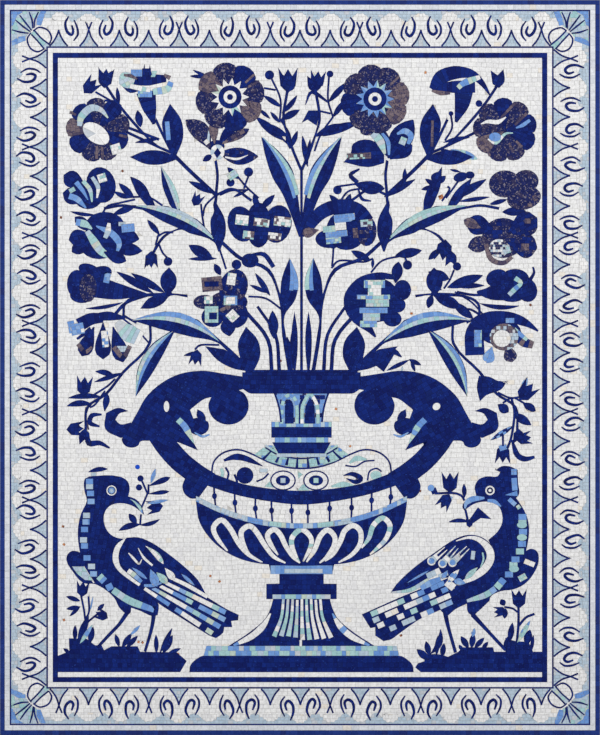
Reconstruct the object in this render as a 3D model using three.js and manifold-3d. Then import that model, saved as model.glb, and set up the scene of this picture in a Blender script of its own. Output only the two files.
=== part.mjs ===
// A mosaic wall panel: a footed urn of flowers between two birds, inside a scroll border.
// The picture is flush: every coloured area is a flat inlay of one thickness on a backing board.
// The panel is drawn lying flat (x across, y up the picture, z out of the board) and turned upright
// at the end, so that its picture faces -Y and its flat back lies in the plane Y = 0.
import * as THREE from "three";
import { mergeVertices } from "three/addons/utils/BufferGeometryUtils.js";
import Module from "manifold-3d";

// ---------- driving dimensions, in millimetres ----------
const PANEL_WIDTH = 1200;
const PANEL_HEIGHT = 1470;
const BOARD_THICKNESS = 12;
const INLAY_THICKNESS = 8;
const JOINT = 0.3; // open joint between neighbouring areas and under the inlay

// widths of the bands, from the edge of the panel inwards
const BLUE_EDGE = 9;
const WHITE_LINE = 10.5;
const FINE_LINE = 2.5;
const SCROLL_BORDER = 71;
const INNER_WHITE = 10;
const INNER_BLUE = 10;

// the scroll border: round-ended lobes side by side, with small triangles between their ends
const LOBES_ACROSS = 17;
const LOBES_UP = 22;
const SPANDREL_HALF_WIDTH = 15;
const SPANDREL_DEPTH = 29;
const PALE_EDGE = 14;

// the picture
const AXIS = 3; // the urn's axis, a little right of the panel's middle
const BASE_LINE = 10; // white line under the ground and the plinth
const GROUND_DEPTH = 38; // the dark earth that the birds stand on
const STEM = 7;
const TWIG = 5;

const LEAF_STEPS = 3;
const STEM_STEPS = 3;
const ROUND_STEPS = 8;
const FLATNESS = 0.1; // how far a corner may lie off a straight edge and still be dropped
const LEAF_FOOT = 3; // how far a leaf reaches back into its stem

const wasm = await Module();
wasm.setup();

// ---------- outlines ----------
const vec = ([x, y]) => new THREE.Vector2(x, y);

// A band that follows a smooth centre line and swells and narrows with the widths given along it.
function ribbon(route, widths, steps = STEM_STEPS) {
  const curve = new THREE.SplineCurve(route.map(vec));
  const left = [];
  const right = [];
  for (let i = 0; i <= steps; i++) {
    const t = i / steps;
    const place = t * (widths.length - 1);
    const k = Math.min(Math.floor(place), widths.length - 2);
    const half = THREE.MathUtils.lerp(widths[k], widths[k + 1], place - k) / 2;
    const point = curve.getPoint(t);
    const along = curve.getTangent(t);
    const across = new THREE.Vector2(-along.y, along.x).multiplyScalar(half);
    left.push(point.clone().add(across));
    if (half > 0) right.unshift(point.clone().sub(across));
  }
  return left.concat(right);
}

const twig = (...route) => ribbon(route, [TWIG, TWIG], 2);

// A lance-shaped leaf from its foot to its tip, bowed to its left by the given amount. Its narrow
// foot reaches a little way back into the stem that carries it.
function leaf(foot, tip, width, bow = 0) {
  const along = vec(tip).sub(vec(foot));
  const aside = new THREE.Vector2(-along.y, along.x).normalize();
  const start = vec(foot).addScaledVector(along, -LEAF_FOOT / along.length());
  const middle = vec(foot).addScaledVector(along, 0.5).addScaledVector(aside, bow);
  const curve = new THREE.QuadraticBezierCurve(start, middle, vec(tip));
  const points = [];
  const back = [];
  for (let i = 0; i < LEAF_STEPS; i++) {
    const t = i / LEAF_STEPS;
    const half = Math.max((width / 2) * Math.sin(Math.PI * t), LEAF_FOOT / 2);
    const tangent = curve.getTangent(t);
    const across = new THREE.Vector2(-tangent.y, tangent.x).multiplyScalar(half);
    points.push(curve.getPoint(t).add(across));
    back.unshift(curve.getPoint(t).sub(across));
  }
  return [...points, vec(tip), ...back];
}

// A disc, or an ellipse, that may be turned.
function disc([x, y], radiusX, radiusY = radiusX, turn = 0, steps = ROUND_STEPS) {
  const points = [];
  for (let i = 0; i < steps; i++) {
    const a = (2 * Math.PI * i) / steps;
    const spoke = new THREE.Vector2(radiusX * Math.cos(a), radiusY * Math.sin(a));
    points.push(spoke.rotateAround(new THREE.Vector2(), turn).add(vec([x, y])));
  }
  return points;
}

// A bloom seen from the front: petals with round ends and a notch between each two.
function scalloped([x, y], radius, petals, notch, squash = 1, turn = 0) {
  const points = [];
  for (let i = 0; i < petals * 2; i++) {
    const a = (2 * Math.PI * i) / (petals * 2);
    const r = i % 2 === 0 ? radius * (1 - notch) : radius;
    const spoke = new THREE.Vector2(r * Math.cos(a), r * squash * Math.sin(a));
    points.push(spoke.rotateAround(new THREE.Vector2(), turn).add(vec([x, y])));
  }
  return points;
}

// A small tulip-shaped bud with three tips.
function bud([x, y], size, turn) {
  const corners = [[0, -1], [0.65, -0.4], [0.7, 1], [0, 0.4], [-0.7, 1], [-0.65, -0.4]];
  return corners.map((corner) =>
    vec(corner).multiplyScalar(size).rotateAround(new THREE.Vector2(), turn).add(vec([x, y])));
}

function rectangle(left, bottom, right, top) {
  return [[left, bottom], [right, bottom], [right, top], [left, top]].map(vec);
}

// A horizontal course of the urn, symmetrical about its axis: half widths at the top and the bottom.
function course(top, bottom, halfTop, halfBottom = halfTop) {
  return [[-halfBottom, bottom], [halfBottom, bottom], [halfTop, top], [-halfTop, top]].map(vec);
}

// A figure that is symmetrical about the axis, from its right-hand half listed from bottom to top.
function mirroredOutline(half) {
  const other = half.filter(([x]) => x > 0).map(([x, y]) => [-x, y]);
  return [...half, ...other.reverse()].map(vec);
}

// Moves each corner of an outline out along its own bisector.
function grown(points, by) {
  const turning = THREE.ShapeUtils.area(points) < 0 ? -1 : 1;
  const count = points.length;
  return points.map((point, i) => {
    const before = point.clone().sub(points[(i + count - 1) % count]).normalize();
    const after = points[(i + 1) % count].clone().sub(point).normalize();
    const normal = new THREE.Vector2(before.y + after.y, -before.x - after.x);
    const length = Math.max(normal.length(), 0.6);
    return point.clone().addScaledVector(normal, (2 * by * turning) / (length * length));
  });
}

// ---------- solids ----------
function prism(points, from, to, hole = null) {
  const shape = new THREE.Shape(points);
  if (hole) shape.holes.push(new THREE.Path(hole));
  const geometry = new THREE.ExtrudeGeometry(shape, { depth: to - from, bevelEnabled: false });
  geometry.translate(0, 0, from);
  geometry.deleteAttribute("normal");
  geometry.deleteAttribute("uv");
  return mergeVertices(geometry, 1e-4);
}

function solid(points, from, to, hole) {
  const geometry = prism(points, from, to, hole);
  return new wasm.Manifold(new wasm.Mesh({
    numProp: 3,
    vertProperties: geometry.attributes.position.array,
    triVerts: new Uint32Array(geometry.index.array),
  }));
}

// Joins solids and drops the corners that the joining leaves on flat faces.
function joined(solids) {
  return solids.reduce((whole, next) => whole.add(next)).asOriginal().simplify(FLATNESS);
}

function inlay(outlines) {
  return joined(outlines.map((points) => solid(points, 0, INLAY_THICKNESS - JOINT)));
}

// The same area, wider by the joint and deeper than the inlay, to cut its bed in what lies around it.
function bed(outlines) {
  return joined(outlines.map((points) => solid(grown(points, JOINT), -1, INLAY_THICKNESS + 1)));
}

function toGeometry(body) {
  const mesh = body.getMesh();
  const geometry = new THREE.BufferGeometry();
  const positions = new Float32Array(mesh.numVert * 3);
  for (let i = 0; i < mesh.numVert; i++) {
    const start = i * mesh.numProp;
    positions.set(mesh.vertProperties.subarray(start, start + 3), i * 3);
  }
  geometry.setAttribute("position", new THREE.BufferAttribute(positions, 3));
  geometry.setIndex(new THREE.BufferAttribute(new Uint32Array(mesh.triVerts), 1));
  geometry.computeVertexNormals();
  return geometry;
}

// ---------- materials ----------
const stone = (color, roughness = 0.42) =>
  new THREE.MeshStandardMaterial({ color, roughness, metalness: 0 });
const WHITE = () => stone(0xe2e0db);
const BLUE = () => stone(0x1d2d72);
const MID_BLUE = () => stone(0x6f97d2);
const AQUA = () => stone(0xa6c8ca);
const PALE_BLUE = () => stone(0xb2c5d4);

// ---------- the bands and the scroll border ----------
const BORDER_OUTER = BLUE_EDGE + WHITE_LINE + FINE_LINE;
const BORDER_INNER = BORDER_OUTER + SCROLL_BORDER;
const FIELD = BORDER_INNER + FINE_LINE + INNER_WHITE + INNER_BLUE;

function inset(by) {
  const x = PANEL_WIDTH / 2 - by;
  const y = PANEL_HEIGHT / 2 - by;
  return rectangle(-x, -y, x, y);
}

function frameBand(start, width) {
  return solid(inset(start + JOINT / 2), 0, INLAY_THICKNESS - JOINT, inset(start + width - JOINT / 2));
}

// Goes once round the border, with the lobes of each side in turn. The profile lists, for the joint
// between two lobes, places along the side and how far in from the panel's edge each one lies.
function aroundBorder(profile, cornerInset) {
  const sides = [
    { lobes: LOBES_ACROSS, reach: PANEL_WIDTH, rise: PANEL_HEIGHT, turn: 0 },
    { lobes: LOBES_UP, reach: PANEL_HEIGHT, rise: PANEL_WIDTH, turn: Math.PI / 2 },
    { lobes: LOBES_ACROSS, reach: PANEL_WIDTH, rise: PANEL_HEIGHT, turn: Math.PI },
    { lobes: LOBES_UP, reach: PANEL_HEIGHT, rise: PANEL_WIDTH, turn: -Math.PI / 2 },
  ];
  const centre = new THREE.Vector2();
  return sides.flatMap(({ lobes, reach, rise, turn }) => {
    const run = reach / 2 - BORDER_INNER;
    const corner = [-reach / 2 + cornerInset, -rise / 2 + cornerInset];
    const points = [vec(corner).rotateAround(centre, turn)];
    for (let k = 1; k < lobes; k++) {
      const joint = -run + (2 * run * k) / lobes;
      for (const [along, deep] of profile)
        points.push(vec([joint + along, -rise / 2 + deep]).rotateAround(centre, turn));
    }
    return points;
  });
}

const spandrelEdge = aroundBorder(
  [[-SPANDREL_HALF_WIDTH, BORDER_INNER], [0, BORDER_INNER - SPANDREL_DEPTH],
    [SPANDREL_HALF_WIDTH, BORDER_INNER]],
  BORDER_INNER,
);

function scrollBorder() {
  const top = INLAY_THICKNESS - JOINT;
  return {
    outer_fine_line: frameBand(BLUE_EDGE + WHITE_LINE, FINE_LINE),
    border_pale_edge: frameBand(BORDER_OUTER, PALE_EDGE),
    border_scrolls: solid(inset(BORDER_OUTER + PALE_EDGE + JOINT / 2), 0, top,
      grown(spandrelEdge, JOINT / 2)),
    inner_fine_line: solid(grown(spandrelEdge, -JOINT / 2), 0, top,
      inset(BORDER_INNER + FINE_LINE - JOINT / 2)),
  };
}

// ---------- the urn ----------
const urn = [
  { name: "urn_foot", paint: PALE_BLUE,
    outlines: [mirroredOutline([[150, -560], [104, -530], [72, -502], [61, -480], [56, -462]])] },
  { name: "urn_base_strip", paint: AQUA, outlines: [course(-557, -578, 190, 196)] },
  { name: "urn_plinth", paint: BLUE,
    outlines: [mirroredOutline([[224, -610], [222, -596], [208, -582], [196, -577]])] },
  { name: "urn_stem", paint: BLUE, outlines: [course(-433, -463, 70), course(-411, -440, 44),
    course(-394, -412, 65, 61)] },
  { name: "urn_shoulder", paint: WHITE,
    outlines: [mirroredOutline([[0, -256], [170, -222], [177, -197], [164, -176], [142, -165],
      [124, -164], [98, -173], [60, -190], [0, -200]])] },
  { name: "urn_bowl", paint: BLUE,
    outlines: [mirroredOutline([[62, -394], [112, -386], [152, -368], [184, -340], [204, -308],
      [211, -268], [0, -300]])] },
  { name: "urn_baluster_band", paint: WHITE,
    outlines: [mirroredOutline([[0, -316], [76, -309], [150, -289], [208, -264], [186, -234],
      [0, -264]])] },
  { name: "urn_blue_line", paint: MID_BLUE,
    outlines: [mirroredOutline([[0, -322], [76, -316], [150, -296], [211, -268], [211, -257],
      [150, -285], [76, -305], [0, -312]])] },
  { name: "urn_dark_band", paint: BLUE,
    outlines: [mirroredOutline([[0, -274], [74, -266], [140, -252], [194, -234], [178, -212],
      [118, -233], [60, -243], [0, -247]])] },
  { name: "urn_collar", paint: AQUA,
    outlines: [mirroredOutline([[0, -200], [60, -190], [94, -174], [66, -156], [0, -160]])] },
  { name: "urn_neck_rings", paint: BLUE,
    outlines: [course(-109, -121, 60), course(-120, -140, 60), course(-139, -152, 53),
      course(-150, -172, 58, 46)] },
  { name: "urn_neck", paint: MID_BLUE,
    outlines: [mirroredOutline([[43, -109], [44, -84], [50, -60], [58, -44]])] },
  { name: "urn_rim", paint: BLUE,
    outlines: [mirroredOutline([[60, -52], [100, -52], [118, -42], [118, -10]])] },
];

// ---------- the half of the picture on one side of the axis; x counts outwards from the axis ----------
const handle = [
  ribbon([[100, -30], [166, -33], [212, -38], [262, -66], [302, -112], [344, -140]],
    [18, 44, 62, 84, 74, 24], 6),
  disc([256, -104], 40, 44),
  ribbon([[340, -124], [368, -126], [385, -106], [370, -88], [347, -87]], [28, 26, 28, 14, 0], 5),
  disc([340, -144], 19, 16, 0, 8),
  disc([146, -76], 40, 38, 0, 10),
  disc([206, -117], 21, 18, 0, 7),
  leaf([194, -112], [208, -84], 16),
  ribbon([[262, -124], [236, -140], [208, -165]], [40, 26, 0], 2),
  ribbon([[288, -130], [262, -168], [224, -204], [180, -232]], [44, 42, 42, 40], 4),
  disc([213, -238], 25, 25, 0, 10),
];

const birdBody = [
  disc([390, -240], 45, 24, 0, 10),
  ribbon([[366, -250], [336, -264], [318, -296]], [24, 15, 0], 4),
  ribbon([[410, -250], [419, -305], [412, -352], [392, -394], [352, -434], [296, -474]],
    [44, 48, 68, 84, 70, 36], 6),
  ribbon([[426, -366], [446, -384], [442, -408], [400, -434]], [14, 48, 48, 14], 3),
  ribbon([[368, -436], [352, -490]], [56, 12], 1),
  ribbon([[304, -456], [297, -498]], [40, 9], 1),
  ribbon([[352, -484], [376, -526], [407, -578]], [10, 7, 6], 2),
  ribbon([[297, -490], [304, -530], [313, -580]], [9, 7, 6], 2),
  leaf([412, -222], [389, -203], 11),
];
const birdWing = [
  ribbon([[354, -358], [306, -378], [252, -418], [190, -459]], [36, 76, 54, 0], 5),
  ribbon([[352, -390], [300, -430], [235, -467], [146, -513]], [46, 76, 60, 48], 4),
];

const earthBottom = -PANEL_HEIGHT / 2 + FIELD + BASE_LINE;
const earthTop = earthBottom + GROUND_DEPTH;
const earthFoot = earthTop - 8;
const earthEnd = PANEL_WIDTH / 2 - FIELD + 2 * AXIS; // past the field's edge, where it is cut square
const earth = [
  [[228, earthBottom + 20], [240, earthBottom], [earthEnd, earthBottom], [earthEnd, earthTop - 14],
    [450, earthTop - 2], [300, earthTop], [252, earthTop - 6]].map(vec),
  leaf([426, earthFoot], [424, -512], 16),
  leaf([346, earthFoot], [334, -528], 14),
  leaf([272, earthFoot], [238, -512], 16),
];

const spray = [
  // the main stem, up to the iris, the open blossom and the lily, with its crossing leaves
  ribbon([[23, -11], [35, 65], [41, 135], [67, 195], [123, 219], [165, 255], [173, 325], [171, 349]],
    [STEM, STEM], 7),
  twig([171, 345], [168, 385], [172, 416]),
  ribbon([[171, 345], [207, 379], [245, 413], [261, 431]], [STEM, STEM], 2),
  twig([259, 429], [303, 449], [352, 472]),
  twig([259, 429], [277, 465], [295, 503]),
  ribbon([[290, 443], [350, 505], [393, 566]], [TWIG, TWIG], 3),
  leaf([253, 425], [263, 527], 44),
  leaf([249, 419], [343, 421], 30),
  bud([393, 577], 18, 0.1),
  leaf([165, 235], [169, 327], 32),
  twig([171, 345], [139, 357], [100, 334]),
  // the leaves half way up
  leaf([168, 250], [331, 323], 36, 22),
  twig([318, 318], [358, 324], [395, 318]),
  leaf([290, 312], [341, 379], 20),
  leaf([242, 298], [281, 401], 24),
  twig([233, 282], [275, 262], [299, 226]),
  bud([299, 218], 15, 3.1),
  // the leaves and flowers low down
  leaf([99, -8], [111, 81], 46),
  leaf([104, -6], [192, 42], 28),
  ribbon([[100, -9], [140, 30], [174, 60]], [STEM, STEM], 2),
  leaf([162, 50], [338, 94], 42, 34),
  leaf([255, 74], [331, -57], 34, 22),
  ribbon([[330, 90], [356, 104], [353, 128], [323, 143], [273, 147], [228, 143]], [TWIG, TWIG], 5),
  leaf([267, 147], [265, 200], 34),
  leaf([262, 148], [322, 118], 24),
  ribbon([[302, 96], [304, 48], [357, -10], [391, -53], [428, -80], [432, -130]], [TWIG, TWIG], 5),
  bud([434, -138], 15, 3.1),
  // the stems and slender leaves in the middle
  ribbon([[59, -11], [67, 55], [112, 112]], [STEM, STEM], 2),
  ribbon([[44, -11], [52, 65], [88, 122]], [STEM, TWIG], 2),
  leaf([14, -8], [14, 112], 13),
  leaf([37, 104], [24, 218], 36, 12),
  ribbon([[2, 262], [20, 340], [44, 400], [80, 460]], [6, 26, 46, 0], 5),
  ribbon([[1, 396], [20, 442], [36, 495], [28, 556]], [TWIG, TWIG], 3),
  bud([26, 566], 18, 0.1),
  leaf([30, 464], [80, 488], 16),
];

const handleWindow = [[40, -58], [62, -40], [150, -30], [220, -50], [262, -110], [262, -170],
  [196, -222], [170, -234], [120, -228], [60, -190], [40, -130]].map(vec);
const legWindow = [[352, -455], [304, -455], [297, -490], [304, -530], [312, -578], [406, -578],
  [376, -526], [352, -490]].map(vec);

// ---------- the blooms: left and right ----------
const bloomPlaces = [
  { name: "open_blossom", at: [407, 475] },
  { name: "lily", at: [311, 571] },
  { name: "rosette", at: [143, 541] },
  { name: "iris", at: [173, 455] },
  { name: "round_bloom", at: [423, 359] },
  { name: "peony", at: [403, 265] },
  { name: "chequered_bloom", at: [86, 283] },
  { name: "trumpet", at: [413, 165] },
  { name: "cornflower", at: [163, 133] },
  { name: "hanging_bloom", at: [393, 55] },
];

const bloomShapes = {
  open_blossom: (at) => [scalloped(at, 60, 9, 0.13, 1, 0.2)],
  lily: ([x, y]) => [
    disc([x, y], 50, 24),
    ribbon([[x + 2, y], [x - 2, y - 30], [x - 16, y - 76]], [46, 34, 8], 2),
    leaf([x - 2, y + 14], [x - 3, y + 40], 14),
  ],
  rosette: ([x, y]) => [
    scalloped([x, y], 69, 8, 0.12),
  ],
  iris: ([x, y]) => [
    ribbon([[x + 2, y - 44], [x + 34, y - 6], [x + 50, y + 34]], [18, 38, 0], 3),
    ribbon([[x - 4, y - 38], [x - 28, y - 6], [x - 58, y + 4]], [16, 22, 10], 2),
    ribbon([[x, y - 40], [x + 2, y + 6]], [18, 18], 1),
    leaf([x - 4, y - 36], [x - 84, y - 32], 26, 8),
  ],
  round_bloom: ([x, y]) => [
    disc([x + 18, y + 4], 32, 38, 0, 8),
    disc([x - 20, y + 8], 32, 36, 0, 8),
    disc([x, y - 14], 36, 28, 0, 8),
  ],
  peony: ([x, y]) => [
    scalloped([x, y], 58, 9, 0.16, 0.8),
    leaf([x - 40, y - 4], [x - 78, y - 12], 22),
    leaf([x + 40, y - 8], [x + 74, y - 26], 18),
  ],
  chequered_bloom: (at) => [scalloped(at, 59, 8, 0.1, 0.84, 0.3)],
  trumpet: ([x, y]) => [
    disc([x + 12, y + 2], 38, 38),
    ribbon([[x + 6, y], [x - 36, y - 10], [x - 76, y - 20]], [52, 26, 6], 2),
  ],
  cornflower: ([x, y]) => [
    scalloped([x, y], 55, 8, 0.12, 1.1, 0.2),
    leaf([x - 10, y - 40], [x - 12, y - 70], 30),
  ],
  hanging_bloom: ([x, y]) => [
    ribbon([[x - 28, y + 38], [x + 18, y + 28], [x + 66, y + 8]], [14, 32, 22], 2),
    ribbon([[x - 26, y + 36], [x + 10, y - 4], [x + 40, y - 30]], [14, 26, 26], 2),
    ribbon([[x - 24, y + 34], [x - 6, y - 8], [x, y - 42]], [14, 32, 30], 2),
    ribbon([[x - 26, y + 34], [x - 34, y - 4], [x - 34, y - 44]], [14, 26, 28], 2),
    ribbon([[x - 30, y + 38], [x - 50, y + 12], [x - 66, y - 8]], [12, 28, 26], 2),
  ],
};

// ---------- the whole picture, listed from what is cut away to what cuts it ----------
const sides = [{ side: "left", to: -1 }, { side: "right", to: 1 }];
const placed = (outlines, to) => outlines.map((points) =>
  points.map(({ x, y }) => new THREE.Vector2(AXIS + to * x, y)));

const fieldBottom = -PANEL_HEIGHT / 2 + FIELD;
const fieldTop = PANEL_HEIGHT / 2 - FIELD;
const fieldSide = PANEL_WIDTH / 2 - FIELD;

const fieldOutline = rectangle(-fieldSide + JOINT / 2, fieldBottom + BASE_LINE + JOINT / 2,
  fieldSide - JOINT / 2, fieldTop - JOINT / 2);

const picture = [
  { name: "field_ground", paint: WHITE, outlines: [fieldOutline] },
  ...sides.flatMap(({ side, to }) => [
    { name: `ground_in_handle_${side}`, paint: WHITE, outlines: placed([handleWindow], to) },
    { name: `ground_between_legs_${side}`, paint: WHITE, outlines: placed([legWindow], to) },
    { name: `earth_${side}`, paint: BLUE, outlines: placed(earth, to) },
    { name: `bird_body_${side}`, paint: BLUE, outlines: placed(birdBody, to) },
    { name: `bird_wing_and_tail_${side}`, paint: AQUA, outlines: placed(birdWing, to) },
  ]),
  { name: "stems_and_leaves", paint: BLUE,
    outlines: [...placed(spray, -1), ...placed(spray, 1),
      ...placed([ribbon([[0, -11], [0, 400]], [TWIG, TWIG], 1), course(-5, -12, 112)], 1)] },
  ...sides.flatMap(({ side, to }) => bloomPlaces.map(({ name, at }) =>
    ({ name: `${name}_${side}`, paint: BLUE, outlines: placed(bloomShapes[name](at), to) }))),
  ...sides.map(({ side, to }) =>
    ({ name: `handle_${side}`, paint: BLUE, outlines: placed(handle, to) })),
  ...urn.map((piece) => ({ ...piece, outlines: placed(piece.outlines, 1) })),
];

const field = solid(fieldOutline, -1, INLAY_THICKNESS + 1);
const pieces = picture.map(({ name, paint, outlines }, i) => {
  const above = picture.slice(i + 1).map((other) => bed(other.outlines));
  const whole = inlay(outlines).intersect(field);
  const body = above.reduce((left, cutter) => left.subtract(cutter), whole);
  return { name, paint, body: body.asOriginal().simplify(FLATNESS) };
});

// ---------- assembly ----------
const panel = new THREE.Group();
panel.rotation.x = Math.PI / 2;

function lay(name, paint, geometry, height) {
  const mesh = new THREE.Mesh(geometry, paint());
  mesh.name = name;
  mesh.position.z = height;
  panel.add(mesh);
}

const board = new THREE.BoxGeometry(PANEL_WIDTH, PANEL_HEIGHT, BOARD_THICKNESS);
lay("backing_board", () => stone(0xa9a59c, 0.85), board, BOARD_THICKNESS / 2);

const bands = {
  outer_blue_band: frameBand(0, BLUE_EDGE),
  outer_white_line: frameBand(BLUE_EDGE, WHITE_LINE),
  ...scrollBorder(),
  inner_white_line: frameBand(BORDER_INNER + FINE_LINE, INNER_WHITE),
  inner_blue_band: frameBand(BORDER_INNER + FINE_LINE + INNER_WHITE, INNER_BLUE),
  base_white_line: solid(rectangle(-fieldSide + JOINT / 2, fieldBottom + JOINT / 2,
    fieldSide - JOINT / 2, fieldBottom + BASE_LINE - JOINT / 2), 0, INLAY_THICKNESS - JOINT),
};
const bandPaint = { outer_blue_band: BLUE, outer_fine_line: BLUE, inner_fine_line: BLUE,
  inner_blue_band: BLUE, border_pale_edge: PALE_BLUE };
for (const [name, body] of Object.entries(bands))
  lay(name, bandPaint[name] ?? WHITE, toGeometry(body), BOARD_THICKNESS + JOINT);
for (const { name, paint, body } of pieces)
  lay(name, paint, toGeometry(body), BOARD_THICKNESS + JOINT);

const root = new THREE.Group();
root.add(panel);
export default root;
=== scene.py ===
import math
import random

import bpy
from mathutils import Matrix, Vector
from mathutils.geometry import delaunay_2d_cdt


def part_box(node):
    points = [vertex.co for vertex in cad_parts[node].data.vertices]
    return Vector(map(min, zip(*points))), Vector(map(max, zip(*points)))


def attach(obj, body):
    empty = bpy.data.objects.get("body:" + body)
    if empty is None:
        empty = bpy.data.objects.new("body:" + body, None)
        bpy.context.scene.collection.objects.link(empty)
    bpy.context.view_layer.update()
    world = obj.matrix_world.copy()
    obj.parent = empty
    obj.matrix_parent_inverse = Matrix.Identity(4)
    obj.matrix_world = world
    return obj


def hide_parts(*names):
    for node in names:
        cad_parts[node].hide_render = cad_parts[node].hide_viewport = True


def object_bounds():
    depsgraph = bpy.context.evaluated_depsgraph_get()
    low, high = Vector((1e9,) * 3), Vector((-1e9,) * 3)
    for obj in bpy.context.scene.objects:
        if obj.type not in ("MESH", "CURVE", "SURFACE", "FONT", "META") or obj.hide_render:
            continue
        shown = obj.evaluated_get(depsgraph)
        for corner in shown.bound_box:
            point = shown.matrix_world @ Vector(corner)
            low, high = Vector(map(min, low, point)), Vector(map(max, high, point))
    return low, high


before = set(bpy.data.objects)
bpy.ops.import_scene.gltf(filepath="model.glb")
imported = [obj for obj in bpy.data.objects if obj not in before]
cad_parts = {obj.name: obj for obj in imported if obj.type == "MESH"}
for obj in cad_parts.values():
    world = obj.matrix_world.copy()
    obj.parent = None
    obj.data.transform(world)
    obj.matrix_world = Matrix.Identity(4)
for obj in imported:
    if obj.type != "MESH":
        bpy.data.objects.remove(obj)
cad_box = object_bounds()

# ---------- The stand: floor, lights and camera ----------
# The panel stands upright on a plain pale floor under two wide soft lamps and a pale sky. The
# camera looks at it squarely, from far enough away that the panel just fills the view.
PANEL_LOW, PANEL_HIGH = cad_box
PANEL_WIDTH = (PANEL_HIGH[0] - PANEL_LOW[0]) * 1000
PANEL_HEIGHT = (PANEL_HIGH[2] - PANEL_LOW[2]) * 1000
VIEW_DISTANCE = 4.0
LENS_WIDTH = 36.0

bpy.ops.mesh.primitive_plane_add(size=9, location=(0, 0, PANEL_LOW[2] - 0.001))
floor = bpy.context.object
floor.name = "floor"
floor_paint = bpy.data.materials.new("pale floor")
floor_paint.use_nodes = True
floor_shader = floor_paint.node_tree.nodes["Principled BSDF"]
floor_shader.inputs["Base Color"].default_value = (0.62, 0.61, 0.59, 1)
floor_shader.inputs["Roughness"].default_value = 0.8
floor.data.materials.append(floor_paint)

sky = bpy.data.worlds.new("pale sky")
sky.use_nodes = True
sky.node_tree.nodes["Background"].inputs["Color"].default_value = (1.0, 1.0, 1.0, 1)
sky.node_tree.nodes["Background"].inputs["Strength"].default_value = 0.55
bpy.context.scene.world = sky
for side in (-1, 1):
    bpy.ops.object.light_add(type="AREA", location=(2.6 * side, -3.0, 1.3))
    lamp = bpy.context.object
    lamp.name = "soft lamp"
    lamp.data.size = 2.2
    lamp.data.energy = 62
    lamp.rotation_euler = (Vector((0, 0, 0)) - lamp.location).to_track_quat("-Z", "Y").to_euler()

bpy.ops.object.camera_add(location=(0, PANEL_LOW[1] - VIEW_DISTANCE, 0), rotation=(math.pi / 2, 0, 0))
camera = bpy.context.object
camera.data.sensor_fit = "VERTICAL"
camera.data.sensor_height = LENS_WIDTH
camera.data.lens = LENS_WIDTH * VIEW_DISTANCE / (PANEL_HEIGHT / 1000)
bpy.context.scene.camera = camera
bpy.context.scene.view_settings.view_transform = "Standard"
bpy.ops.object.select_all(action="DESELECT")

# ---------- The outer bands ----------
# Round the edge run a row of cobalt tesserae, a row of white marble rod and a fine dark strip.
# Each piece is cut square from a rod and pressed into a bed of mortar.
FRONT = PANEL_LOW[1] * 1000
JOINT = 0.4  # open joint between two tesserae, in millimetres, as are all sizes below
BED_DEPTH = 0.7  # how far the grout lies below the faces
TESSERA_DEPTH = 2.6
PRESSED_IN = 0.2  # how far the lowest tesserae lie below the faces
UNEVEN = 0.18  # how much further out the highest ones stand
TILT = 0.012  # the steepest slope of a tessera's face
EASED = 0.35  # the width of a tessera's eased edge
EASED_RISE = 0.18
random.seed(7)


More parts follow.
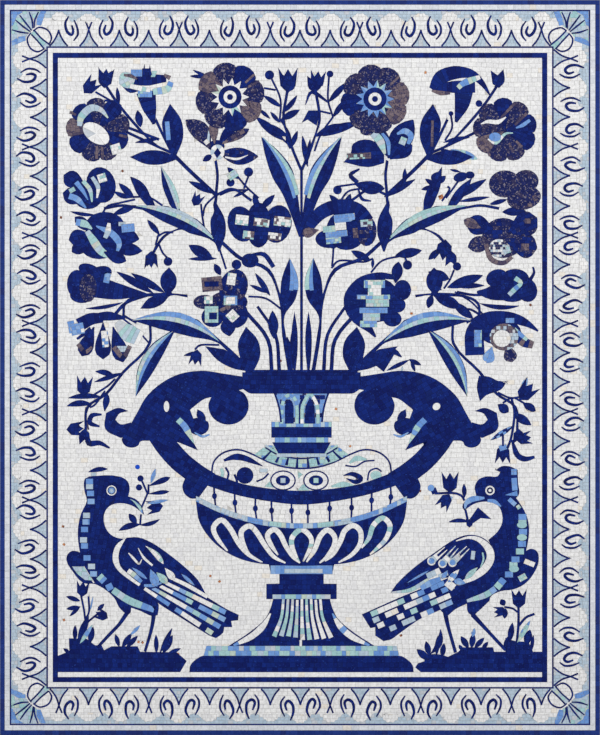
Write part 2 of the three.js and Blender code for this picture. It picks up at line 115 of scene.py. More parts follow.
# Colours of one kind of tessera: most lie near the first two colours, a few take the odd one.
def stone_group():
    group = bpy.data.node_groups.new("tessera stone", "ShaderNodeTree")
    for name, kind in (("Colour", "NodeSocketColor"), ("Second Colour", "NodeSocketColor"),
                       ("Odd Colour", "NodeSocketColor"), ("Odd Share", "NodeSocketFloat"),
                       ("Fleck Colour", "NodeSocketColor"), ("Flecks", "NodeSocketFloat")):
        group.interface.new_socket(name, in_out="INPUT", socket_type=kind)
    for name, kind in (("Colour", "NodeSocketColor"), ("Roughness", "NodeSocketFloat"),
                       ("Height", "NodeSocketFloat")):
        group.interface.new_socket(name, in_out="OUTPUT", socket_type=kind)
    nodes, links = group.nodes, group.links
    given = nodes.new("NodeGroupInput")
    result = nodes.new("NodeGroupOutput")
    place = nodes.new("ShaderNodeTexCoord")
    tone = nodes.new("ShaderNodeAttribute")
    tone.attribute_name = "tone"
    odd = nodes.new("ShaderNodeAttribute")
    odd.attribute_name = "odd"

    blend = nodes.new("ShaderNodeMix")
    blend.data_type = "RGBA"
    links.new(tone.outputs["Fac"], blend.inputs["Factor"])
    links.new(given.outputs["Colour"], blend.inputs["A"])
    links.new(given.outputs["Second Colour"], blend.inputs["B"])

    is_odd = nodes.new("ShaderNodeMath")
    is_odd.operation = "LESS_THAN"
    links.new(odd.outputs["Fac"], is_odd.inputs[0])
    links.new(given.outputs["Odd Share"], is_odd.inputs[1])
    odd_blend = nodes.new("ShaderNodeMix")
    odd_blend.data_type = "RGBA"
    links.new(is_odd.outputs[0], odd_blend.inputs["Factor"])
    links.new(blend.outputs["Result"], odd_blend.inputs["A"])
    links.new(given.outputs["Odd Colour"], odd_blend.inputs["B"])

    # cloudy marking inside each stone, a few millimetres across
    cloud = nodes.new("ShaderNodeTexNoise")
    cloud.inputs["Scale"].default_value = 210
    cloud.inputs["Detail"].default_value = 3
    links.new(place.outputs["Object"], cloud.inputs["Vector"])
    cloud_range = nodes.new("ShaderNodeMapRange")
    cloud_range.inputs["From Min"].default_value = 0.3
    cloud_range.inputs["From Max"].default_value = 0.7
    cloud_range.inputs["To Min"].default_value = 0.86
    cloud_range.inputs["To Max"].default_value = 1.1
    links.new(cloud.outputs["Fac"], cloud_range.inputs["Value"])
    shaded = nodes.new("ShaderNodeVectorMath")
    shaded.operation = "SCALE"
    links.new(odd_blend.outputs["Result"], shaded.inputs[0])
    links.new(cloud_range.outputs["Result"], shaded.inputs["Scale"])

    # crisp flecks, about a millimetre across
    grain = nodes.new("ShaderNodeTexNoise")
    grain.inputs["Scale"].default_value = 330
    grain.inputs["Detail"].default_value = 2
    links.new(place.outputs["Object"], grain.inputs["Vector"])
    level = nodes.new("ShaderNodeMath")
    level.operation = "SUBTRACT"
    level.inputs[0].default_value = 0.72
    links.new(given.outputs["Flecks"], level.inputs[1])
    fleck = nodes.new("ShaderNodeMath")
    fleck.operation = "GREATER_THAN"
    links.new(grain.outputs["Fac"], fleck.inputs[0])
    links.new(level.outputs[0], fleck.inputs[1])
    flecked = nodes.new("ShaderNodeMix")
    flecked.data_type = "RGBA"
    links.new(fleck.outputs[0], flecked.inputs["Factor"])
    links.new(shaded.outputs["Vector"], flecked.inputs["A"])
    links.new(given.outputs["Fleck Colour"], flecked.inputs["B"])

    polish = nodes.new("ShaderNodeMapRange")
    polish.inputs["To Min"].default_value = 0.38
    polish.inputs["To Max"].default_value = 0.6
    links.new(cloud.outputs["Fac"], polish.inputs["Value"])
    links.new(flecked.outputs["Result"], result.inputs["Colour"])
    links.new(polish.outputs["Result"], result.inputs["Roughness"])
    links.new(grain.outputs["Fac"], result.inputs["Height"])
    return group


tessera_stone = stone_group()


def srgb(red, green, blue):
    return tuple((c / 255 / 12.92 if c <= 10 else ((c / 255 + 0.055) / 1.055) ** 2.4)
                 for c in (red, green, blue)) + (1.0,)


def stone(name, colour, second, odd=None, odd_share=0.0, fleck=None, flecks=0.0):
    material = bpy.data.materials.new(name)
    material.use_nodes = True
    nodes, links = material.node_tree.nodes, material.node_tree.links
    shader = nodes["Principled BSDF"]
    marking = nodes.new("ShaderNodeGroup")
    marking.node_tree = tessera_stone
    marking.inputs["Colour"].default_value = srgb(*colour)
    marking.inputs["Second Colour"].default_value = srgb(*second)
    marking.inputs["Odd Colour"].default_value = srgb(*(odd or colour))
    marking.inputs["Odd Share"].default_value = odd_share
    marking.inputs["Fleck Colour"].default_value = srgb(*(fleck or colour))
    marking.inputs["Flecks"].default_value = flecks
    shader.inputs["Specular IOR Level"].default_value = 0.1
    bump = nodes.new("ShaderNodeBump")
    bump.inputs["Strength"].default_value = 0.18
    bump.inputs["Distance"].default_value = 0.0004
    links.new(marking.outputs["Colour"], shader.inputs["Base Color"])
    links.new(marking.outputs["Roughness"], shader.inputs["Roughness"])
    links.new(marking.outputs["Height"], bump.inputs["Height"])
    links.new(bump.outputs["Normal"], shader.inputs["Normal"])
    return material


WHITE = stone("white marble", (222, 222, 224), (232, 232, 232), (228, 222, 213), 0.02)
ROD = stone("white marble rod", (204, 208, 216), (216, 219, 225), (218, 213, 207), 0.05)
COBALT = stone("cobalt smalti", (4, 19, 86), (11, 37, 116), (10, 30, 96), 0.06, (34, 66, 150), 0.03)
DARK_GROUT = stone("blue-stained grout", (16, 24, 72), (22, 32, 84))
DARK = {COBALT}  # stones that are set in the stained grout


FLUSH = 0.05  # a corner this near to the front plane belongs to the front face


# The outline of a CAD area, as seen from the front: loops of points (across, up), in millimetres.
def outlines_of(node):
    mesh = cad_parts[node].data
    front = {}
    for face in mesh.polygons:
        corners = [mesh.vertices[i].co * 1000 for i in face.vertices]
        if all(abs(c.y - FRONT) < FLUSH for c in corners):
            flat = [(round(c.x, 2), round(c.z, 2)) for c in corners]
            for a, b in zip(flat, flat[1:] + flat[:1]):
                front[(a, b)] = True
    edges = {a: b for a, b in front if (b, a) not in front}
    loops = []
    while edges:
        first, after = edges.popitem()
        loop = [first]
        while after != first:
            loop.append(after)
            after = edges.pop(after)
        loops.append(loop)
    return loops


def area_of(loop):
    return sum(a[0] * b[1] - b[0] * a[1] for a, b in zip(loop, loop[1:] + loop[:1])) / 2


def box_of(loop):
    across = [p[0] for p in loop]
    up = [p[1] for p in loop]
    return min(across), min(up), max(across), max(up)


SHARPEST = 0.6  # limits how far the point of a sharp corner is moved out


# Moves each corner of an outline out along its own bisector.
def grown(loop, by):
    moved = []
    count = len(loop)
    for i, here in enumerate(loop):
        before = Vector(here) - Vector(loop[i - 1])
        after = Vector(loop[(i + 1) % count]) - Vector(here)
        normal = Vector((before.y, -before.x)).normalized() + Vector((after.y, -after.x)).normalized()
        length = max(normal.length, SHARPEST)
        moved.append(tuple(Vector(here) + normal * (2 * by / length ** 2)))
    return moved


# Cuts cells to an outline and round the outlines that lie over it. Gives the points, and for each
# cell the triangles left of it. Under 0 is what lies between the cells.
def fitted(outline, cells, over):
    points, faces = [], []
    for loop in [outline] + over + cells:
        if area_of(loop) < 0:
            loop = loop[::-1]
        start = len(points)
        points += [Vector(p) for p in loop]
        faces.append(list(range(start, len(points))))
    cut = delaunay_2d_cdt(points, [], faces, 3, 1e-4, True)
    first_cell = 1 + len(over)
    kept = {}
    for face, owners in zip(cut[2], cut[5]):
        if 0 in owners and not any(0 < owner < first_cell for owner in owners):
            cell = max(owners)
            kept.setdefault(cell if cell >= first_cell else 0, []).append(face)
    return cut[0], kept


# The rims of a group of triangles, as loops of their points.
def rims(triangles):
    onward = {}
    for face in triangles:
        for a, b in zip(face, face[1:] + face[:1]):
            if a in onward.get(b, ()):
                onward[b].remove(a)
            else:
                onward.setdefault(a, []).append(b)
    loops = []
    for first in list(onward):
        while onward[first]:
            loop, here = [first], onward[first].pop()
            while here != first:
                loop.append(here)
                here = onward[here].pop()
            loops.append(loop)
    return loops


# One stone's shape without the points that lie on its straight sides.
def cleaned(loop):
    kept = [loop[-1]]
    for i, here in enumerate(loop):
        before, after = here - kept[-1], loop[(i + 1) % len(loop)] - here
        stands_out = abs(before.cross(after)) > STRAIGHT * (before + after).length
        if before.length > SAME_POINT and stands_out:
            kept.append(here)
    return kept[1:]


# Whether a stone is too small, thin or pointed for its edges to be eased.
def left_sharp(mesh, face):
    corners = [mesh.vertices[i].co for i in face.vertices]
    sides = [b - a for a, b in zip(corners, corners[1:] + corners[:1])]
    pointed = any(a.angle(b, math.pi) > NEEDLE for a, b in zip(sides, sides[1:] + sides[:1]))
    return pointed or face.area < min(LEAST_EASED, sum(side.length for side in sides) * THINNEST)


laid = []  # areas laid so far, which later ones are cut round: (outline with its joint, its bed, box)
SKIRT = 0.3  # how far the stained grout runs out round a dark area
SMALLEST = 3.5  # square millimetres: a chip smaller than this is left out of the joint
STRAIGHT = 0.12  # a corner that stands out less than this from its neighbours is left out
SAME_POINT = 0.02  # and so is one that is nearer than this to the last
LEAST_EASED = 12e-6  # square metres
THINNEST = 0.0007  # metres, half a stone's least width for its edges to be eased
NEEDLE = math.radians(150)  # the turn at a corner that is too pointed to be eased


# One piece of mosaic, which replaces the CAD node of its own name unless others are given. Each
# area is (outline, stone or stones, cells), the uppermost first.
def mosaic(name, areas, stands_for=None, depth=TESSERA_DEPTH):
    stands_for = stands_for or [name]
    points, faces, paints, tones = [], [], [], []
    for outline, stones, cells in areas:
        stones = stones if isinstance(stones, tuple) else (stones,)
        if area_of(outline) < 0:
            outline = outline[::-1]
        low = box_of(outline)
        over = [(grown_loop, loop) for grown_loop, loop, box in laid
                if box[0] < low[2] and box[2] > low[0] and box[1] < low[3] and box[3] > low[1]]
        spots, groups = fitted(outline, cells, [pair[0] for pair in over])
        groups.pop(0, None)
        for triangles in groups.values():
            loops = [cleaned([spots[i] for i in loop]) for loop in rims(triangles)]
            if any(len(loop) > 2 and area_of(loop) < 0 for loop in loops):
                loops = [[spots[i] for i in face] for face in triangles]
            paint, tone = random.choice(stones), (random.random(), random.random())
            for loop in loops:
                if len(loop) < 3 or area_of(loop) < SMALLEST:
                    continue
                middle = sum(loop, Vector((0, 0))) / len(loop)
                back = FRONT + depth + PRESSED_IN + random.uniform(0, UNEVEN)
                tilt = Vector((random.uniform(-TILT, TILT), random.uniform(-TILT, TILT)))
                start = len(points)
                points += [(p.x, back + (p - middle).dot(tilt), p.y) for p in loop]
                faces.append(list(range(start, len(points))))
                paints.append(paint)
                tones.append(tone)
        if stones[0] in DARK:
            spots, groups = fitted(grown(outline, SKIRT), [], [pair[1] for pair in over])
            start = len(points)
            points += [(p.x, FRONT + depth + BED_DEPTH, p.y) for p in spots]
            for face in groups.get(0, []):
                faces.append([start + i for i in face])
                paints.append(DARK_GROUT)
                tones.append((0.5, 0.5))
        around = grown(outline, JOINT)
        laid.append((around, grown(outline, SKIRT) if stones[0] in DARK else outline, box_of(around)))

    mesh = bpy.data.meshes.new(name)
    mesh.from_pydata([Vector(p) / 1000 for p in points], [], faces)
    piece = bpy.data.objects.new(name, mesh)
    bpy.context.collection.objects.link(piece)
    slots = list(dict.fromkeys(paints))
    for paint in slots:
        mesh.materials.append(paint)
    tone = mesh.attributes.new("tone", "FLOAT", "FACE")
    odd = mesh.attributes.new("odd", "FLOAT", "FACE")
    for i, face in enumerate(mesh.polygons):
        face.material_index = slots.index(paints[i])
        tone.data[i].value, odd.data[i].value = tones[i]

    bpy.ops.object.select_all(action="DESELECT")
    piece.select_set(True)
    bpy.context.view_layer.objects.active = piece
    bpy.ops.object.mode_set(mode="EDIT")
    bpy.ops.mesh.select_mode(type="FACE")
    bpy.ops.mesh.select_all(action="SELECT")
    bpy.ops.mesh.extrude_region_move(TRANSFORM_OT_translate={"value": (0, -depth / 1000, 0)})
    bpy.ops.object.mode_set(mode="OBJECT")
    for face in mesh.polygons:
        if face.select and (slots[face.material_index] is DARK_GROUT or left_sharp(mesh, face)):
            face.select = False
    bpy.ops.object.mode_set(mode="EDIT")
    bpy.ops.mesh.inset(thickness=EASED / 1000, depth=EASED_RISE / 1000, use_individual=True)
    bpy.ops.object.mode_set(mode="OBJECT")
    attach(piece, "root")
    for node in stands_for:
        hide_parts(node)
    return piece


VARY = 0.25  # how much shorter or longer a tessera may be than its row's length
LONG_WAVE, SHORT_WAVE = 61, 23  # the lengths of the rows' waves, over two pi


# Rows of cells over a box, with joints that are out of step from row to row. The rows may be turned
# about the box's centre, and wave gently.
def rows(box, row=9.0, length=10.0, turn=0.0, wave=0.0):
    middle = Vector(((box[0] + box[2]) / 2, (box[1] + box[3]) / 2))
    half_across = (box[2] - box[0]) / 2
    half_up = (box[3] - box[1]) / 2
    cos, sin = math.cos(turn), math.sin(turn)
    reach = abs(half_across * cos) + abs(half_up * sin) + length
    rise = abs(half_across * sin) + abs(half_up * cos) + row
    phase = random.uniform(0, 6)

    def place(across, up):
        up += wave * (math.sin(across / LONG_WAVE + phase)
                      + 0.6 * math.sin(across / SHORT_WAVE + phase * 2))
        return (middle.x + across * cos - up * sin, middle.y + across * sin + up * cos)

    cells = []
    gap = JOINT / 2
    up = -rise
    while up < rise:
        top = up + row
        across = -reach - random.uniform(0, length)
        while across < reach:
            end = across + length * random.uniform(1 - VARY, 1 + VARY)
            corners = ((across, up), (end, up), (end, top), (across, top))
            cells.append([place(x + (gap if x == across else -gap), y + (gap if y == up else -gap))
                          for x, y in corners])
            across = end
        up = top
    return [cell for cell in cells
            if box_of(cell)[0] < box[2] and box_of(cell)[2] > box[0]
            and box_of(cell)[1] < box[3] and box_of(cell)[3] > box[1]]


# A frame of four straight strips, from `start` to `start + width` in from the panel's edge.
def frame_strips(start, width, length, paint):
    x = PANEL_WIDTH / 2 - start
    y = PANEL_HEIGHT / 2 - start
    strips = ((-x, y - width, x, y), (-x, -y, x, -y + width),
              (-x, -y + width, -x + width, y - width), (x - width, -y + width, x, y - width))
    return [(rectangle(*box), paint, pieces_along(box, length)) for box in strips]


def rectangle(left, low, right, high):
    return [(left, low), (right, low), (right, high), (left, high)]


# Cuts a straight strip across into pieces of about one length.
def pieces_along(box, length):
    flat = box[2] - box[0] > box[3] - box[1]
    start, stop = (box[0], box[2]) if flat else (box[1], box[3])
    side = JOINT / 4
    cells = []
    while start < stop:
        end = start + length * random.uniform(1 - VARY, 1 + VARY)
        if end > stop - length / 2:
            end = stop
        a, b = start + side, end - side
        cells.append(rectangle(a, box[1] + side, b, box[3] - side) if flat
                     else rectangle(box[0] + side, a, box[2] - side, b))
        start = end
    return cells


BLUE_EDGE = 9
WHITE_LINE = 10.5
FINE_LINE = 2.5
LIGHT_COBALT = stone("light cobalt smalti", (25, 46, 114), (33, 56, 128), (30, 44, 106), 0.1)
DARK |= {LIGHT_COBALT}
mosaic("outer_blue_band", frame_strips(0.2, BLUE_EDGE - 0.2, 12, LIGHT_COBALT), depth=6.5)
mosaic("outer_white_line", frame_strips(BLUE_EDGE, WHITE_LINE, 16, ROD))
mosaic("outer_fine_line", frame_strips(BLUE_EDGE + WHITE_LINE, FINE_LINE, 17, COBALT))

# ---------- The scroll border ----------
# White marble lobes stand side by side between the two fine lines, each drawn with a fine dark
# outline, a thick hook and a short arc. Pale stone fills the corners between them and their mouths.
BORDER_OUTER = BLUE_EDGE + WHITE_LINE + FINE_LINE
BORDER_INNER = BORDER_OUTER + 71
PALE_EDGE = 14
PALE = stone("pale blue-grey stone", (168, 188, 206), (182, 198, 212), (190, 196, 204), 0.15)
AQUA = stone("aqua smalti", (150, 190, 196), (170, 204, 204), (186, 202, 192), 0.12)
MID = stone("mid blue smalti", (98, 140, 204), (116, 156, 214), (134, 168, 214), 0.1)
THIN = 2.8


# Points on a smooth curve through the given ones.
def curve_through(points, steps=4):
    spots = [Vector(p) for p in points]
    ends = [2 * spots[0] - spots[1]] + spots + [2 * spots[-1] - spots[-2]]
    curve = []
    for a, b, c, d in zip(ends, ends[1:], ends[2:], ends[3:]):
        for k in range(steps):
            t = k / steps
            curve.append(((-a + 3 * b - 3 * c + d) * t ** 3 + (2 * a - 5 * b + 4 * c - d) * t ** 2
                          + (c - a) * t + 2 * b) / 2)
    return curve + [spots[-1]]


# A line of tesserae along a curve: its outline, which may swell and narrow, and its cells.
def ribbon(route, widths, length=12):
    curve = curve_through(route)
    run = [0]
    for a, b in zip(curve, curve[1:]):
        run.append(run[-1] + (b - a).length)
    if not isinstance(widths, (list, tuple)):
        widths = [widths, widths]

    def cross(i):
        ahead = curve[min(i + 1, len(curve) - 1)] - curve[max(i - 1, 0)]
        return Vector((-ahead.y, ahead.x)).normalized()

    left, right = [], []
    for i, point in enumerate(curve):
        place = run[i] / run[-1] * (len(widths) - 1)
        k = min(int(place), len(widths) - 2)
        half = (widths[k] + (widths[k + 1] - widths[k]) * (place - k)) / 2
        left.append(tuple(point + cross(i) * half))
        if half > 0:
            right.append(tuple(point - cross(i) * half))
    outline = left + right[::-1]

    def spot(distance, aside):
        i = max(k for k in range(len(run) - 1) if run[k] <= max(distance, 0))
        share = (distance - run[i]) / (run[i + 1] - run[i])
        return tuple(curve[i].lerp(curve[i + 1], share)
                     + cross(i).lerp(cross(i + 1), share) * aside)

    count = max(1, round(run[-1] / length))
    side = max(widths)
    cells = []
    for k in range(count):
        a = run[-1] * k / count + (JOINT / 2 if k else -JOINT)
        b = run[-1] * (k + 1) / count - (JOINT / 2 if k < count - 1 else -JOINT)
        stops = (a, (a + b) / 2, b)
        cells.append([spot(at, side) for at in stops] + [spot(at, -side) for at in stops[::-1]])
    return outline, cells


def line(route, widths, stones, length=12):
    outline, cells = ribbon(route, widths, length)
    return outline, stones, cells


def block(outline, stones, row=9.0, length=10.0, turn=0.0, wave=0.0):
    return outline, stones, rows(box_of(outline), row, length, turn, wave)


def near(point, by=1.2):
    return point[0] + random.uniform(-by, by), point[1] + random.uniform(-by, by)


CORNER_FIGURE = 24  # how much of each side the corner figures take at its ends


# The four sides, each as its number of lobes, half the length they fill and a way to place (along
# the side, out from the inner line) on the panel.
def side_of(quarter):
    lobes, reach, rise = ((16, PANEL_WIDTH, PANEL_HEIGHT), (21, PANEL_HEIGHT, PANEL_WIDTH))[quarter % 2]
    cos, sin = ((1, 0), (0, 1), (-1, 0), (0, -1))[quarter]

    def place(points):
        flat = [(x, -rise / 2 + BORDER_INNER - out) for x, out in points]
        return [(x * cos - y * sin, x * sin + y * cos) for x, y in flat]

    return lobes, reach / 2 - BORDER_INNER - CORNER_FIGURE, place


TUFT = 4.4  # the radius of a tuft


# The ragged head of a white lobe, with a few round tufts.
def tufted(middle, half, low, high, tufts=4):
    points = [(middle + half, low), (middle - half, low)]
    for k in range(tufts):
        a = math.pi * (1 - (k + 0.5) / tufts)
        centre = (middle + (half - 3) * math.cos(a), low + (high - low - 4) * math.sin(a) ** 0.6)
        for turn in (a + 1.1, a + 0.4, a - 0.4, a - 1.1):
            points.append((centre[0] + TUFT * math.cos(turn), centre[1] + TUFT * math.sin(turn)))
    return points[::-1]


scroll_lines, pale_fills, white_heads, spandrels, spandrel_lines = [], [], [], [], []
for quarter in range(4):
    lobes, run, place = side_of(quarter)
    pitch = 2 * run / lobes
    for k in range(lobes):
        centre = -run + pitch * (k + 0.5) + random.uniform(-1, 1)
        way = 1 if (k + quarter) % 2 else -1
        lift = random.uniform(-3, 2)
        hook = [near((centre + way * x, y + lift)) for x, y in
                ((11, 61), (17, 47), (14, 31), (6, 24), (0, 31), (3, 43))]
        arc = [near((centre + way * x, y + lift)) for x, y in ((-1, 54), (-8, 40), (-8, 25), (-1, 14))]
        scroll_lines.append(line(place(hook), [2, 4.2, 5, 5.4, 4.8, 2.8], COBALT, 9))
        scroll_lines.append(line(place(arc), [1.8, 3.6, 3.8, 2], COBALT, 9))
        mouth = [(centre - 11, 58), (centre - 7, 52), (centre + 1, 49), (centre + 8, 53), (centre + 11, 58)]
        pale_fills.append(block(place([near(p) for p in mouth]), PALE, 7, 8))
    for k in range(lobes + 1):
        joint = -run + pitch * k + random.uniform(-1, 1)
        crossed = k % 3 == 0
        for hand in (-1, 1):
            top = [(joint - hand * 6, 49), (joint, 34)] if crossed else [(joint - hand * 0.5, 33)]
            flank = top + [(joint + hand * 4, 21), (joint + hand * 10, 10.5), (joint + hand * 18, 1)]
            spandrel_lines.append(line(place(flank), THIN, COBALT, 12))
        spandrel = [(joint - 17, 0.3), (joint - 9.5, 10), (joint - 4, 20), (joint, 31),
                    (joint + 4, 20), (joint + 9.5, 10), (joint + 17, 0.3)]
        spandrels.append(block(place(spandrel), PALE, 6.5, 8))
        head = tufted(joint + random.uniform(-2, 2), 15, 52, 70 - random.uniform(0, 4))
        white_heads.append(block(place(head), WHITE, 7.5, 8))


OUTER_SIDE = 70.5  # how far out from the inner line the border's outer side lies


# Each corner: a pale band runs out from the inner corner between two white petals and opens in a
# fan of dark strokes, with brighter blue along the fan's sides and in the outer angle.
for across, up in ((-1, -1), (1, -1), (1, 1), (-1, 1)):
    def corner(*points, flip=False):
        return [(across * (PANEL_WIDTH / 2 - BORDER_INNER + (b if flip else a)),
                 up * (PANEL_HEIGHT / 2 - BORDER_INNER + (a if flip else b)))
                for a, b in (near(p, 0.8) for p in points)]

    for flip in (False, True):
        petal = corner((-4, 4), (-10, 18), (-3, 32), (14, 38), (27, 31), flip=flip)
        scroll_lines.append(line(petal, [2, 3, 2.8, 2.8, 2], COBALT, 11))
        scroll_lines.append(line(corner((-4, 5), (10, 17), (24, 31), flip=flip), 2.6, COBALT, 11))
        for stroke in (((30, 33), (40, 46), (53, 62)), ((27, 36), (29, 52), (34, 69))):
            scroll_lines.append(line(corner(*stroke, flip=flip), [2, 3.2, 1.6], COBALT, 11))
    scroll_lines.append(line(corner((25, 38), (24, 52), (17, 69)), [2, 3, 1.6], COBALT, 11))
    scroll_lines.append(line(corner((-2, -2), (14, 14), (28, 28)), 10, (AQUA, PALE), 9))
    for flip in (False, True):
        beside = corner((12, 42), (20, 43), (19, 56), (11, OUTER_SIDE), (1, OUTER_SIDE), flip=flip)
        pale_fills.append(block(beside, MID, 8, 9))
    angle = (OUTER_SIDE, OUTER_SIDE)
    in_angle = corner((66, 44), (OUTER_SIDE, 40), angle, (46, OUTER_SIDE), (60, 62))
    pale_fills.append(block(in_angle, MID, 8, 9))
    fan = corner((30, 34), (20, 41), (9, OUTER_SIDE), angle, (OUTER_SIDE, 9), (41, 20), (34, 30))
    pale_fills.append(block(fan, (PALE, PALE, AQUA), 8, 9))


def ring(start, width, stones, row=9.0, length=9.5):
    return [block(outline, stones, row, length)
            for outline, _, _ in frame_strips(start, width, 10, stones)]


mosaic("inner_fine_line", frame_strips(BORDER_INNER, FINE_LINE, 17, COBALT) + spandrel_lines
       + spandrels)
mosaic("border_scrolls", scroll_lines + white_heads + pale_fills
       + ring(BORDER_OUTER + PALE_EDGE, BORDER_INNER - BORDER_OUTER - PALE_EDGE, WHITE, 8.5, 11))
mosaic("border_pale_edge", ring(BORDER_OUTER, PALE_EDGE, PALE, 7, 9))

# ---------- The inner bands ----------
# Inside the scrolls lie a row of white marble rod and a row of cobalt, and under the picture a
# white base line, all single rows set the same way as the outer ones.
INNER_WHITE = 10
INNER_BLUE = 10
FIELD = BORDER_INNER + FINE_LINE + INNER_WHITE + INNER_BLUE
BASE_LINE = 10
field = (-PANEL_WIDTH / 2 + FIELD, -PANEL_HEIGHT / 2 + FIELD, PANEL_WIDTH / 2 - FIELD,
         PANEL_HEIGHT / 2 - FIELD)
mosaic("inner_white_line", frame_strips(BORDER_INNER + FINE_LINE, INNER_WHITE, 15, WHITE))
mosaic("inner_blue_band", frame_strips(FIELD - INNER_BLUE, INNER_BLUE, 12, COBALT))
base_line = (field[0], field[1], field[2], field[1] + BASE_LINE)
mosaic("base_white_line", [(rectangle(*base_line), WHITE, pieces_along(base_line, 15))])

# ---------- The urn ----------
# A footed urn with two handles, cut in cobalt with white, mid blue and aqua, from the rim down to
# the plinth. Each moulding is an area of its own, laid in level rows, and the lines on it are thin
# strips set on edge.
CORNER = math.radians(50)
AXIS = 3  # the urn stands a little right of the panel's middle


# Rounds an outline through its points, and keeps the corners that turn sharply.
def rounded(loop, steps=4, corner=CORNER):
    count = len(loop)
    points = [Vector(p) for p in loop]
    heading = []
    for i in range(count):
        before = points[i] - points[i - 1]
        after = points[(i + 1) % count] - points[i]
        if before.angle(after, 0) > corner:
            heading.append(None)
        elif before.length > 3 * after.length:
            heading.append(before.normalized())
        elif after.length > 3 * before.length:
            heading.append(after.normalized())
        else:
            heading.append((before.normalized() + after.normalized()).normalized())
    curve = []
    for i in range(count):
        a, b = points[i], points[(i + 1) % count]
        span = b - a
        leave, arrive = heading[i], heading[(i + 1) % count]
        if leave is None and arrive is None:
            curve.append(tuple(a))
            continue
        along = span.normalized()
        leave = (leave or along) * span.length
        arrive = (arrive or along) * span.length
        for k in range(steps):
            t = k / steps
            curve.append(tuple(a * (1 + 2 * t) * (1 - t) ** 2 + leave * t * (1 - t) ** 2
                               + b * t * t * (3 - 2 * t) + arrive * t * t * (t - 1)))
    return curve


def body(node, stones, row=9.0, length=10.0, turn=0.0, steps=4, corner=CORNER):
    return [block(rounded(loop, steps, corner), stones, row, length, turn)
            for loop in outlines_of(node) if area_of(loop) > 0]


# Places a figure drawn from the urn's axis outwards on the right (1) or the left (-1).
def on(side, points):
    return [(AXIS + side * p[0], p[1]) for p in points]


# Turns points about their own origin and moves that to a middle.
def turned(points, turn, middle):
    cos, sin = math.cos(turn), math.sin(turn)
    return [(middle[0] + x * cos - y * sin, middle[1] + x * sin + y * cos) for x, y in points]


def oval(centre, across, up=None, turn=0.0, corners=20):
    up = up or across
    spokes = [(across * math.cos(2 * math.pi * k / corners), up * math.sin(2 * math.pi * k / corners))
              for k in range(corners)]
    return turned(spokes, turn, centre)


# The cells of a round motif, cut like slices.
def slices(centre, radius, count):
    cells = []
    for k in range(count):
        a, b = (2 * math.pi * (k + end) / count for end in (0.02, 0.98))
        cells.append([centre] + [(centre[0] + radius * math.cos(t), centre[1] + radius * math.sin(t))
                                 for t in (a, (a + b) / 2, b)])
    return cells


def disc(centre, across, stones, up=None, turn=0.0, count=1):
    outline = oval(centre, across, up, turn)
    if count == 1:
        return outline, stones, [oval(centre, across * 1.5, (up or across) * 1.5, turn)]
    return outline, stones, slices(centre, 1.5 * max(across, up or across), count)


def bar(left, low, right, high, stones, length=9.0):
    box = (AXIS + left, low, AXIS + right, high)
    return rectangle(*box), stones, pieces_along(box, length)


mosaic("urn_rim", body("urn_rim", COBALT))

# the neck: a round and a pointed arch, each over a dark panel
neck_windows = [
    (on(1, [(-33, -112), (-16, -112), (-16, -78), (-19, -68), (-24, -64), (-30, -68), (-33, -78)]), COBALT),
    (on(1, [(6, -112), (27, -112), (26, -78), (17, -60), (8, -78)]), COBALT),
]
neck_lines = [
    line(on(1, [(-40, -112), (-39, -80), (-34, -62), (-24, -55), (-14, -62), (-9, -80), (-9, -112)]),
         6.5, (AQUA, AQUA, MID), 9),
    line(on(1, [(1, -112), (2, -80), (9, -62), (17, -51)]), 6.5, (AQUA, AQUA, WHITE), 9),
    line(on(1, [(33, -112), (32, -80), (25, -62), (17, -51)]), 6.5, (AQUA, WHITE), 9),
]
mosaic("urn_neck", [line(on(side, [(41, -109), (44, -84), (50, -62), (57, -44)]), 3, COBALT)
                    for side in (-1, 1)]
       + [block(outline, stones, 7) for outline, stones in neck_windows] + neck_lines
       + [line(on(1, [(-4, -112), (-4, -80), (1, -62)]), 3, COBALT)]
       + body("urn_neck", (MID, MID, COBALT)))

mosaic("urn_neck_rings", [bar(-60, -119, 60, -109, (MID, MID, PALE, AQUA)),
                          bar(-53, -150, 53, -140, (MID, MID, MID, AQUA)),
                          bar(-50, -179, 50, -172, PALE)]
       + body("urn_neck_rings", COBALT, 9.5))

# the collar: aqua wedges under a pale ring
collar_ring = [(-72, -156), (-45, -171), (0, -178), (45, -171), (72, -156)]
wedges = [line(on(1, [(x * 0.86, -170 + abs(x) * 0.12), (x, -182 + abs(x) * 0.14),
                      (x * 1.16, -203 + abs(x) * 0.3)]), [2.2, 3, 5], COBALT, 12)
          for x in (-66, -44, -26, -8, 12, 30, 48, 68)]
mosaic("urn_collar", [line(on(1, collar_ring), 4, (PALE, AQUA)),
                      line(on(1, [(x, z - 4.2) for x, z in collar_ring]), 2.4, COBALT)]
       + wedges + body("urn_collar", (AQUA, AQUA, AQUA, MID), 8, 9))

mosaic("urn_dark_band", body("urn_dark_band", COBALT, 9.5))


# the blue line under the balusters: mid blue with pale lengths
def bowed(low, lift, reach, x):
    return low + lift * (x / reach) ** 2


line_spots = [(x, bowed(-317, 54, 208, x)) for x in range(-208, 209, 16)]
mosaic("urn_blue_line", [line(on(1, line_spots[a:b]), 9, stones, 9)
                         for a, b, stones in ((3, 7, PALE), (9, 12, (AQUA, PALE)), (15, 18, (AQUA, PALE)))]
       + body("urn_blue_line", (MID, MID, MID, PALE), 14, 9))

